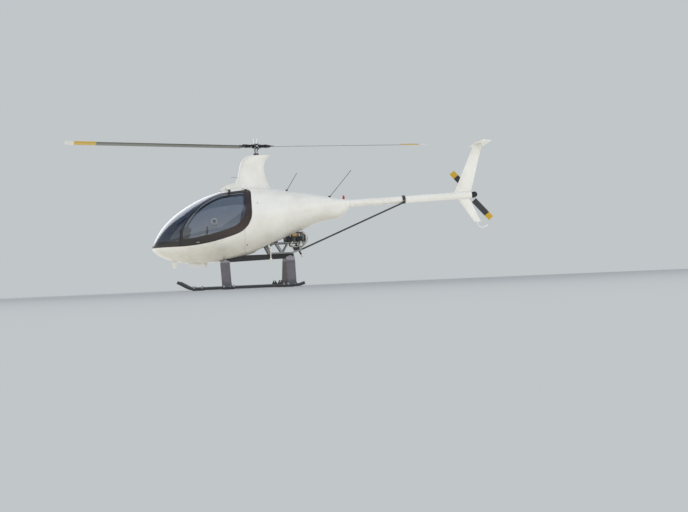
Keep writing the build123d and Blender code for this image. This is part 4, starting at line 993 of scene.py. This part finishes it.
@dataclass
class PanelScrews:
    """Rows of screws where skin panels meet, and the static ports beside them."""

    nodes: dict[str, Piece]
    # Station, height of the middle, screws to a side, degrees from the top and bottom that stay free.
    rings: Rows = (
        (-280, 1150, 14, 26), (-244, 1150, 14, 26), (840, 1300, 10, 30), (1480, 1390, 8, 36),
    )
    screw_r: float = 3.6
    # Station, height and radius.
    ports: Rows = ((-35, 1399, 9), (-228, 718, 13))

    def build(self) -> list[Piece]:
        """Casts each screw onto the skin from outside.

        Returns:
            The pieces.
        """
        skin = Skin(*[self.nodes[name] for name in ("cabin_shell", "rear_cowl", "tail_boom")])
        screws, ports = Mould(), Mould()
        for station, z, count, start in self.rings:
            for step in range(count):
                angle = math.radians(start + (180 - 2 * start) * step / (count - 1) - 90)
                for hand in SIDES.values():
                    out = Vector((0, hand * math.cos(angle), math.sin(angle)))
                    if found := skin.seat(at(station, 0, z) + out * FAR, -out):
                        screws.screw(*found, self.screw_r)
        for station, z, radius in self.ports:
            for hand in SIDES.values():
                if found := skin.seat(at(station, hand * FAR / MM, z), (0, -hand, 0)):
                    rim = [(-1, radius), (1.2, radius * 0.9), (1.2, radius * 0.3), (0.2, radius * 0.25)]
                    ports.turned(*found, rim)
        return [
            screws.piece("panel_screws", Body.AIRFRAME, ZINC),
            ports.piece("static_ports", Body.AIRFRAME, MOULDING),
        ]


@dataclass
class RotorHead:
    """Nuts, bolts and links of the main rotor's head."""

    azimuth_deg: float = 12.2
    pin_half: float = 58.0
    cheek_out: float = 50.0
    cheek_bolts: Rows = ((-28, 22), (28, 22), (-28, -22), (28, -22))
    cuff_bolts: Row = (192, 222)
    cuff_half: float = 17.0
    link: Rows = ((92, 50, -18), (48, 74, -46))
    link_end: Rows = ((0, 4), (3, 9), (9, 11), (15, 9), (18, 4))
    link_end_half: float = 0.009

    def build(self) -> list[Piece]:
        """Makes the head's small pieces in the head's own frame and turns them to its azimuth.

        Returns:
            The pieces.
        """
        hub = Vector((MAST_X, 0, HUB_Z))
        turn = Matrix.Rotation(math.radians(self.azimuth_deg), 4, "Z")

        def local(x: float, y: float, z: float) -> Vector:
            """Turns a place in the head's frame, in millimetres, to metres."""
            return hub + turn @ Vector((x * MM, y * MM, z * MM))

        bolts, links = Mould(), Mould()
        for hand in SIDES.values():
            aside = turn @ Vector((0, hand, 0))
            bolts.bolt(local(0, hand * self.pin_half, 0), aside, 24)
            for x, z in self.cheek_bolts:
                bolts.bolt(local(x, hand * self.cheek_out, z), aside, 11)
            for reach in self.cuff_bolts:
                for way in (-1, 1):
                    place = local(hand * reach, 0, way * self.cuff_half)
                    bolts.bolt(place, (0, 0, way), 17)
            top, foot = [local(hand * p[0], hand * p[1], p[2]) for p in self.link]
            for spot in (top, foot):
                links.turned(spot - UP * self.link_end_half, UP, self.link_end, 16)
        return [
            bolts.piece("rotor_head_bolts", Body.MAIN_ROTOR, ZINC),
            links.piece("pitch_link_ends", Body.MAIN_ROTOR, ALLOY),
        ]


@dataclass
class TailRotorHead:
    """Nut, pitch slider and links of the tail rotor."""

    azimuth_deg: float = 48.0
    face: float = 20.0
    arm: float = 46.0
    slider: Rows = ((0, 14), (4, 14), (5, 11), (22, 11), (24, 20), (30, 20), (31, 9), (40, 9))
    slider_end: float = 0.040
    link_start: tuple[float, float] = (0.027, 0.018)
    link_foot: tuple[float, float] = (0.006, 0.030)

    def build(self) -> list[Piece]:
        """Makes the tail rotor's small pieces.

        Returns:
            The pieces.
        """
        hub = Vector(TAIL_HUB)
        outward = Vector((0, 1, 0))
        face = hub + outward * self.face * MM
        slider, links = Mould(), Mould()
        slider.turned(face, outward, self.slider)
        slider.bolt(face + outward * self.slider_end, outward, 12)
        span = Matrix.Rotation(math.radians(-self.azimuth_deg), 4, "Y") @ Vector((1, 0, 0))
        lead = span.cross(outward)
        for way in (-1, 1):
            out, ahead = self.link_start
            start = face + outward * out + lead * way * ahead
            out, ahead = self.link_foot
            foot = hub + span * way * self.arm * MM + lead * way * ahead + outward * out
            links.swept([start, (start + foot) / 2, foot], 3, 8)
            slider.bolt(foot, outward, 8)
        return [
            slider.piece("tail_pitch_slider", Body.TAIL_ROTOR, ZINC),
            links.piece("tail_pitch_links", Body.TAIL_ROTOR, ALLOY),
        ]


@dataclass
class BoomGear:
    """Fasteners and bases along the tail boom, its fins and its aerials."""

    nodes: dict[str, Piece]
    rise: float = 0.038416
    start: tuple[float, float] = (1550.0, 1380.0)
    rings: Row = (1590, 1640, 2120, 3060, 3420, 3660)
    ring_rivets: int = 16
    fin_rivets: int = 7
    fin_rivets_z: tuple[float, float] = (1.545, 1.385)
    clamp: float = 2500.0
    # Station and height of the foot and of the tip.
    whips: Rows = ((490, 1628, 675, 1925), (1220, 1500, 1610, 1950))
    whip_base: Rows = ((0, 16), (6, 15), (10, 9), (34, 7), (36, 5))

    def build(self) -> list[Piece]:
        """Makes the boom's rivets, clamp bolts and aerial bases.

        Returns:
            The pieces.
        """
        rivets, bolts, bases = Mould(), Mould(), Mould()
        boom = Skin(self.nodes["tail_boom"])
        for station in self.rings:
            height = self.start[1] + (station - self.start[0]) * self.rise
            for step in range(self.ring_rivets):
                angle = math.radians(360 / self.ring_rivets * step + 11)
                out = Vector((0, math.cos(angle), math.sin(angle)))
                if found := boom.seat(at(station, 0, height) + out * 0.3, -out):
                    rivets.turned(*found, RIVET, 10)
        fins = Skin(self.nodes["upper_fin"], self.nodes["lower_fin"])
        low, high = [Vector(corner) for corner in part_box("upper_fin")]
        for hand in SIDES.values():
            for step in range(self.fin_rivets):
                x = low.x + (high.x - low.x) * (0.18 + 0.1 * step)
                for z in self.fin_rivets_z:
                    if found := fins.seat(Vector((x, hand, z)), (0, -hand, 0)):
                        rivets.turned(*found, RIVET, 10)
        height = self.start[1] + (self.clamp - self.start[0]) * self.rise
        clamp = Skin(self.nodes["boom_struts"])
        for hand in SIDES.values():
            for x in (-12, 12):
                if found := clamp.seat(at(self.clamp + x, hand * 300, height - 20), (0, -hand, 0)):
                    bolts.bolt(*found, 10)
        for foot_x, foot_z, top_x, top_z in self.whips:
            foot, top = at(foot_x, 0, foot_z), at(top_x, 0, top_z)
            lean = (top - foot).normalized()
            bases.turned(foot - lean * 0.004, lean, self.whip_base, 18)
        return [
            rivets.piece("boom_rivets", Body.AIRFRAME, GELCOAT),
            bolts.piece("boom_clamp_bolts", Body.AIRFRAME, ZINC),
            bases.piece("aerial_bases", Body.AIRFRAME, RUBBER),
        ]


@dataclass
class SkidGear:
    """Straps and bolts of the skids and legs."""

    nodes: dict[str, Piece]
    track: float = 760.0
    skid_z: float = 49.0
    skid_r: float = 25.0
    straps: Row = (-1115, -985, -640, -480, 325, 395)
    strap_wide: float = 18.0
    strap_thick: float = 2.0
    strap_bite: float = 1.0
    feet: Row = (-580, 464)
    foot_bolt: float = 42.0

    def build(self) -> list[Piece]:
        """Makes the skids' small pieces on both sides.

        Returns:
            The pieces.
        """
        straps, bolts = Mould(), Mould()
        legs = Skin(self.nodes["gear_legs"], self.nodes["skids"])
        for hand in SIDES.values():
            for station in self.straps:
                foot = at(station - self.strap_wide / 2, hand * self.track, self.skid_z)
                inner, outer = self.skid_r - self.strap_bite, self.skid_r + self.strap_thick
                band = [(0, inner), (0, outer), (self.strap_wide, outer), (self.strap_wide, inner)]
                straps.turned(foot, (1, 0, 0), band, 28)
                place = at(station, hand * (self.track + outer), self.skid_z)
                bolts.bolt(place, (0, hand, 0), 9)
            for foot in self.feet:
                for x in (-self.foot_bolt, self.foot_bolt):
                    if found := legs.seat(at(foot + x, hand * FAR / MM, self.skid_z), (0, -hand, 0)):
                        bolts.bolt(*found, 15)
        return [
            straps.piece("shoe_straps", Body.AIRFRAME, ZINC),
            bolts.piece("skid_bolts", Body.AIRFRAME, ZINC),
        ]


@dataclass
class EngineGear:
    """Hoses, leads, carburettors, manifolds and the bottle round the open engine."""

    cylinders: Row = (505, 655)
    head_y: float = 237.0
    cylinder_z: float = 796.0
    plug: Rows = ((0, 7), (6, 7), (7, 5), (14, 5))
    boot: Rows = ((0, 8), (12, 8), (16, 5))
    coil: Row = (580, 40, 925)
    lead_r: float = 3.5
    header_r: float = 13.0
    header_clip: Rows = ((0, 19), (6, 19))
    inlet_r: float = 11.0
    carburettor: Row = (580, 96, 886)
    carburettor_body: Rows = ((0, 20), (26, 20), (28, 24), (34, 24))
    hose: Rows = ((262, 110, 940), (300, 110, 962), (360, 80, 950), (420, 60, 920))
    hose_r: float = 14.0
    hose_clip: Rows = ((0, 16), (10, 16))
    bottle: Row = (575, -160, 868)
    bottle_size: Row = (92, 46, 54)
    bottle_neck: Rows = ((0, 12), (14, 12), (16, 10))
    tip: Row = (701.0, 75.2, 544.8)
    tip_axis: Row = (80.0, 20.0, -145.0)
    tip_sleeve: Rows = ((0, 16), (0, 18.5), (50, 18.5), (52, 17.5), (52, 15.5), (41, 15.5))

    def cylinder(self, station: float, hand: int, moulds: dict[str, Mould]) -> None:
        """Adds one cylinder's plug and lead, exhaust header and inlet.

        Args:
            station: Where the cylinder is.
            hand: Its side: -1 is port, 1 is starboard.
            moulds: The moulds, by the names of their pieces.
        """
        plug = at(station, hand * self.head_y, self.cylinder_z)
        moulds["carburettors"].turned(plug, (0, hand, 0), self.plug, 16)
        leads, pipes = moulds["ignition_leads"], moulds["manifolds"]
        leads.turned(plug + Vector((0, hand * 0.008, 0)), (0, hand, 0), self.boot, 14)
        route = [
            plug + Vector((0, hand * 0.022, 0)), plug + Vector((0.01, hand * 0.034, 0.02)),
            plug + Vector((0.02, hand * 0.012, 0.075)), at(station + 10, hand * 140, 905),
            at(self.coil[0], hand * self.coil[1], self.coil[2]),
        ]
        leads.swept(eased(route), self.lead_r, 8)
        header = [
            at(station + 24, hand * 205, 770), at(station + 26, hand * 205, 740),
            at(station + 10, hand * 180, 700), at(610, hand * 118, 668),
        ]
        pipes.swept(eased(header), self.header_r, 14)
        moulds["pipe_clamps"].turned(header[0], -UP, self.header_clip, 18)
        inlet = [at(station, hand * 190, 842), at(station, hand * 180, 872), at(580, hand * 120, 888)]
        pipes.swept(eased(inlet), self.inlet_r, 12)

    def build(self) -> list[Piece]:
        """Makes the engine's dressing.

        Returns:
            The pieces.
        """
        finishes = {
            "ignition_leads": RUBBER, "coolant_hoses": RUBBER, "manifolds": STAINLESS,
            "carburettors": ALLOY, "pipe_clamps": ZINC, "overflow_bottle": BOTTLE,
        }
        moulds = {name: Mould() for name in finishes}
        moulds["manifolds"].turned(at(*self.tip), Vector(self.tip_axis).normalized(), self.tip_sleeve, 24)
        for hand in SIDES.values():
            for station in self.cylinders:
                self.cylinder(station, hand, moulds)
            x, y, z = self.carburettor
            moulds["carburettors"].turned(at(x, hand * y, z), (0, hand, 0), self.carburettor_body, 22)
            hose = [at(x, hand * y, z) for x, y, z in self.hose]
            moulds["coolant_hoses"].swept(eased(hose), self.hose_r, 14)
            ends = ((hose[0], UP), (hose[-1] - Vector((0.016, 0, -0.012)), (1, 0, -0.7)))
            for spot, axis in ends:
                moulds["pipe_clamps"].turned(spot, axis, self.hose_clip, 20)
        bottle = moulds["overflow_bottle"]
        bottle.block(at(*self.bottle), self.bottle_size, 10)
        x, y, z = self.bottle
        bottle.turned(at(x, y, z + 25), UP, self.bottle_neck, 18)
        return [mould.piece(name, Body.AIRFRAME, finishes[name]) for name, mould in moulds.items()]


@dataclass
class SidePost:
    """White blocks at the two ends of the port side's thin post."""

    station: float = 166.0
    y: float = -211.3
    # Height of the middle, length, width and height.
    blocks: Rows = ((446, 38, 34, 98), (652, 38, 34, 76))

    def build(self) -> list[Piece]:
        """Makes the two blocks and their bolts.

        Returns:
            The pieces.
        """
        blocks, bolts = Mould(), Mould()
        for z, long, wide, tall in self.blocks:
            blocks.block(at(self.station, self.y, z), (long, wide, tall), 4)
            bolts.bolt(at(self.station, self.y - wide / 2, z), (0, -1, 0), 10)
        return [
            blocks.piece("post_blocks", Body.AIRFRAME, WHITE_ENAMEL),
            bolts.piece("post_bolts", Body.AIRFRAME, ZINC),
        ]


@dataclass
class Cockpit:
    """Dials, grips, switches and belts."""

    nodes: dict[str, Piece]
    dial_z: Row = (1010, 942, 874)
    dial_y: Row = (-92, -31, 31, 92)
    dial_r: float = 27.0
    dial_marks: int = 12
    switch_y: Row = (-90, -60, -30, 0, 30, 60, 90)
    switch_z: float = 812.0
    switch: Rows = ((0, 6), (3, 6), (4, 2.5), (18, 2), (19, 3))
    seat_y: float = 270.0
    shoulder_z: tuple[int, int, int] = (1330, 900, -40)
    shoulder_y: float = 62.0
    strap_lift: float = 0.014
    lap_y: tuple[int, int, int] = (-180, 225, 45)
    lap_lift: float = 0.016
    strap_flat: float = 0.06
    buckle: Row = (52, 62, 14)
    stick: Row = (-865, 270, 1050)
    stick_lean: Row = (0.11, 0, 1)
    lever: Row = (-850, 0, 840)
    lever_lean: Row = (-0.85, 0, 0.46)
    handle: Rows = ((-110, 13), (-105, 16), (-70, 15), (-35, 17), (-6, 17), (6, 14), (10, 8))

    def dial(self, spot: Vector, normal: Vector, needle_deg: float, moulds: Sequence[Mould]) -> None:
        """Adds one dial with its marks and its needle.

        Args:
            spot: Where it sits on the pod.
            normal: The way that it faces.
            needle_deg: Where its needle points.
            moulds: The moulds of the rims, the faces and the marks.
        """
        rims, faces, marks = moulds
        radius = self.dial_r
        rim = [(-1, radius), (5, radius), (6, radius - 2), (3, radius - 4), (3, radius - 5)]
        rims.turned(spot, normal, rim, 28)
        faces.turned(spot + normal * 0.0012, normal, [(0, radius - 3), (2, radius - 3.5)], 28)
        aside = Vector((0, 1, 0))
        side = normal.cross(aside).normalized()
        for step in range(self.dial_marks):
            angle = 2 * math.pi * step / self.dial_marks
            way = side * math.cos(angle) + aside * math.sin(angle)
            ends = [spot + normal * 0.0036 + way * reach * MM for reach in (radius - 9, radius - 5)]
            marks.swept(ends, 0.7, 4)
        lean = math.radians(needle_deg)
        way = side * math.cos(lean) + aside * math.sin(lean)
        middle = spot + normal * 0.004
        marks.swept([middle, middle + way * (radius - 10) * MM], 0.9, 4)

    def dials(self) -> list[Piece]:
        """Makes the dials on the pod's aft face, and a row of switches below them.

        Returns:
            The pieces.
        """
        pod = Skin(self.nodes["instrument_pod"])
        rims, faces, marks = Mould(), Mould(), Mould()
        for z in self.dial_z:
            for index, y in enumerate(self.dial_y):
                if found := pod.seat(at(-700, y, z), (-1, 0, 0)):
                    self.dial(*found, 40 + 70 * index, (rims, faces, marks))
        for y in self.switch_y:
            if found := pod.seat(at(-700, y, self.switch_z), (-1, 0, 0)):
                rims.turned(*found, self.switch, 12)
        return [
            rims.piece("dial_rims", Body.AIRFRAME, MOULDING),
            faces.piece("dial_faces", Body.AIRFRAME, DIAL),
            marks.piece("dial_marks", Body.AIRFRAME, DIAL_MARKS),
        ]

    def belts(self) -> list[Piece]:
        """Lays lap and shoulder belts on the cushions, and their buckles.

        Returns:
            The pieces.
        """
        skin = Skin(self.nodes["seat_cushions"], self.nodes["back_cushions"])
        straps, buckles = Mould(), Mould()
        top, foot, _ = self.shoulder_z
        for hand in SIDES.values():
            for aside in (-self.shoulder_y, self.shoulder_y):
                line = []
                for z in range(*self.shoulder_z):
                    # The straps come together towards the lap.
                    y = hand * self.seat_y + aside * (0.35 + 0.65 * (z - foot) / (top - foot))
                    if found := skin.seat(at(-900, y, z), (1, 0, 0)):
                        line.append(found[0] + found[1] * self.strap_lift)
                if len(line) > 2:
                    straps.swept(line, 22, 8, self.strap_flat)
            lap = []
            for offset in range(*self.lap_y):
                if found := skin.seat(at(-420, hand * self.seat_y + offset, 1200), -UP):
                    lap.append(found[0] + UP * self.lap_lift)
            if len(lap) > 2:
                straps.swept(lap, 24, 8, self.strap_flat)
                buckles.block(lap[len(lap) // 2] + UP * 0.006, self.buckle, 4)
        return [
            straps.piece("seat_belts", Body.AIRFRAME, WEBBING),
            buckles.piece("belt_buckles", Body.AIRFRAME, ALLOY),
        ]

    def grips(self) -> Piece:
        """Makes the grips of the sticks and the collective lever.

        Returns:
            The piece.
        """
        grips = Mould()
        x, y, z = self.stick
        for hand in SIDES.values():
            grips.turned(at(x, hand * y, z), self.stick_lean, self.handle, 20)
        grips.turned(at(*self.lever), self.lever_lean, self.handle, 20)
        return grips.piece("control_grips", Body.AIRFRAME, RUBBER)

    def build(self) -> list[Piece]:
        """Makes what is inside the cabin."""
        return [*self.dials(), *self.belts(), self.grips()]


class Assembly(Protocol):
    """What every sub-assembly can do."""

    def build(self) -> list[Piece]:
        """Makes its pieces."""


def assemblies(frame: dict) -> list[Assembly]:
    """Lists the assemblies in the order of their making.

    Args:
        frame: What the frame holds.

    Returns:
        The assemblies.
    """
    nodes = frame["nodes"]
    doors = [DoorGear(nodes, side) for side in SIDES]
    outside = [PanelScrews(nodes), BoomGear(nodes), SkidGear(nodes), EngineGear(), SidePost()]
    return [Cushions(nodes), *doors, RotorHead(), TailRotorHead(), *outside, Cockpit(nodes)]


@dataclass
class Studio:
    """Pale floor, soft lamps and the camera at the photograph's viewing angle."""

    camera_place: tuple[float, float, float] = (-1.360, -16.981, 0.05)
    heading_deg: float = 7.548
    pitch_deg: float = 1.452
    roll_deg: float = -2.470
    lens_mm: float = 52.5
    sensor_mm: float = 36.0
    clip_m: float = 400.0
    glow: float = 0.85
    floor_m: float = 60.0
    fade_from: float = 6.0
    fade_to: float = 16.0
    aim: Row = (0, 0, 1.2)
    # Name, place, watts and length of a side.
    lamps: tuple[tuple[str, Row, float, float], ...] = (
        ("key", (-6.0, -9.0, 9.0), 240.0, 14.0),
        ("fill", (8.0, -8.0, 5.0), 110.0, 7.0),
        ("back", (-5.5, 8.5, 6.5), 350.0, 9.0),
    )

    def camera(self) -> None:
        """Sets the camera: it looks along +Y, turned towards +X by the heading and up by the pitch."""
        data = bpy.data.cameras.new("camera")
        data.lens = self.lens_mm
        data.sensor_width = self.sensor_mm
        data.clip_end = self.clip_m
        camera = bpy.data.objects.new("camera", data)
        level = Matrix.Rotation(math.radians(90 + self.pitch_deg), 4, "X")
        turned = Matrix.Rotation(math.radians(-self.heading_deg), 4, "Z") @ level
        rolled = turned @ Matrix.Rotation(math.radians(self.roll_deg), 4, "Z")
        camera.matrix_world = Matrix.Translation(self.camera_place) @ rolled
        bpy.context.scene.collection.objects.link(camera)
        bpy.context.scene.camera = camera

    def floor(self) -> None:
        """Lays the floor: it takes the part's shadow, fades into the background and is clear from below."""
        mesh = bpy.data.meshes.new("floor")
        bm = bmesh.new()
        bmesh.ops.create_grid(bm, x_segments=1, y_segments=1, size=self.floor_m)
        bm.to_mesh(mesh)
        bm.free()
        floor = bpy.data.objects.new("floor", mesh)
        bpy.context.scene.collection.objects.link(floor)
        material = bpy.data.materials.new("studio_floor")
        material.use_nodes = True
        tree = material.node_tree
        tree.nodes.clear()
        seen = add(tree, "LightPath", "Is Camera Ray")
        colour = add(tree, "Mix", 2, {0: seen, 6: Hue.BOUNCE, 7: Hue.FLOOR}, data_type="RGBA")
        matt = add(tree, "BsdfDiffuse", "BSDF", {"Color": colour})
        plain = add(tree, "Emission", "Emission", {"Color": Hue.STAGE, "Strength": 1.0})
        reach = add(tree, "VectorMath", "Value", {0: add(tree, "TexCoord", "Object")}, operation="LENGTH")
        limits = {"Value": reach, "From Min": self.fade_from, "From Max": self.fade_to}
        far = add(tree, "MapRange", "Result", limits, interpolation_type="SMOOTHSTEP")
        share = add(tree, "Math", 0, {0: far, 1: seen}, operation="MULTIPLY")
        faded = add(tree, "MixShader", "Shader", {"Fac": share, 1: matt, 2: plain})
        below = add(tree, "NewGeometry", "Backfacing")
        clear = add(tree, "BsdfTransparent", "BSDF")
        surface = add(tree, "MixShader", "Shader", {"Fac": below, 1: faded, 2: clear})
        output = tree.nodes.new("ShaderNodeOutputMaterial")
        tree.links.new(surface, output.inputs["Surface"])
        mesh.materials.append(material)

    def surround(self) -> None:
        """Sets the world: plain where it is seen, an even glow as light, a pale horizon in mirrors."""
        world = bpy.data.worlds.new("surround")
        world.use_nodes = True
        bpy.context.scene.world = world
        tree = world.node_tree
        tree.nodes.clear()
        up = add(tree, "SeparateXYZ", "Z", {0: add(tree, "TexCoord", "Generated")})
        high = add(tree, "MapRange", "Result", {"Value": up, "From Min": 0.15, "From Max": 0.8})
        sky = add(tree, "Mix", 2, {0: high, 6: Hue.HORIZON, 7: Hue.ZENITH}, data_type="RGBA")
        mirrored = add(tree, "Background", "Background", {"Color": sky, "Strength": 1.0})
        plain = add(tree, "Background", "Background", {"Color": Hue.STAGE, "Strength": 1.0})
        glow = add(tree, "Background", "Background", {"Color": Hue.GLOW, "Strength": self.glow})
        camera = add(tree, "LightPath", "Is Camera Ray")
        through = add(tree, "LightPath", "Is Transmission Ray")
        seen = add(tree, "Math", 0, {0: camera, 1: through}, operation="MAXIMUM")
        gloss = add(tree, "LightPath", "Is Glossy Ray")
        first = add(tree, "MixShader", "Shader", {"Fac": gloss, 1: glow, 2: mirrored})
        surface = add(tree, "MixShader", "Shader", {"Fac": seen, 1: first, 2: plain})
        output = tree.nodes.new("ShaderNodeOutputWorld")
        tree.links.new(surface, output.inputs["Surface"])

    def lamp(self, name: str, spot: Row, watts: float, size: float) -> None:
        """Hangs a square soft lamp that faces the cabin.

        Args:
            name: The lamp's name.
            spot: Where it hangs.
            watts: Its power.
            size: Length of its side.
        """
        data = bpy.data.lights.new(name, "AREA")
        data.size = size
        data.shape = "SQUARE"
        data.energy = watts
        lamp = bpy.data.objects.new(name, data)
        lamp.location = spot
        lamp.rotation_euler = (Vector(self.aim) - Vector(spot)).to_track_quat("-Z", "Y").to_euler()
        bpy.context.scene.collection.objects.link(lamp)

    def build(self) -> None:
        """Sets up the whole studio."""
        bpy.context.scene.view_settings.view_transform = "Standard"
        self.camera()
        self.floor()
        self.surround()
        for name, spot, watts, size in self.lamps:
            self.lamp(name, spot, watts, size)


def main() -> None:
    """Builds the looks around the frame, assembly by assembly."""
    logging.basicConfig(level=logging.INFO, format="%(message)s")
    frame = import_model()
    for finish, names in NODE_FINISHES.items():
        for name in names.split():
            finish.dress(frame["nodes"][name])
    for assembly in assemblies(frame):
        for piece in assembly.build():
            LOG.info("%s: %s", type(assembly).__name__, piece.name)
    Studio().build()


if __name__ == "__main__":
    main()
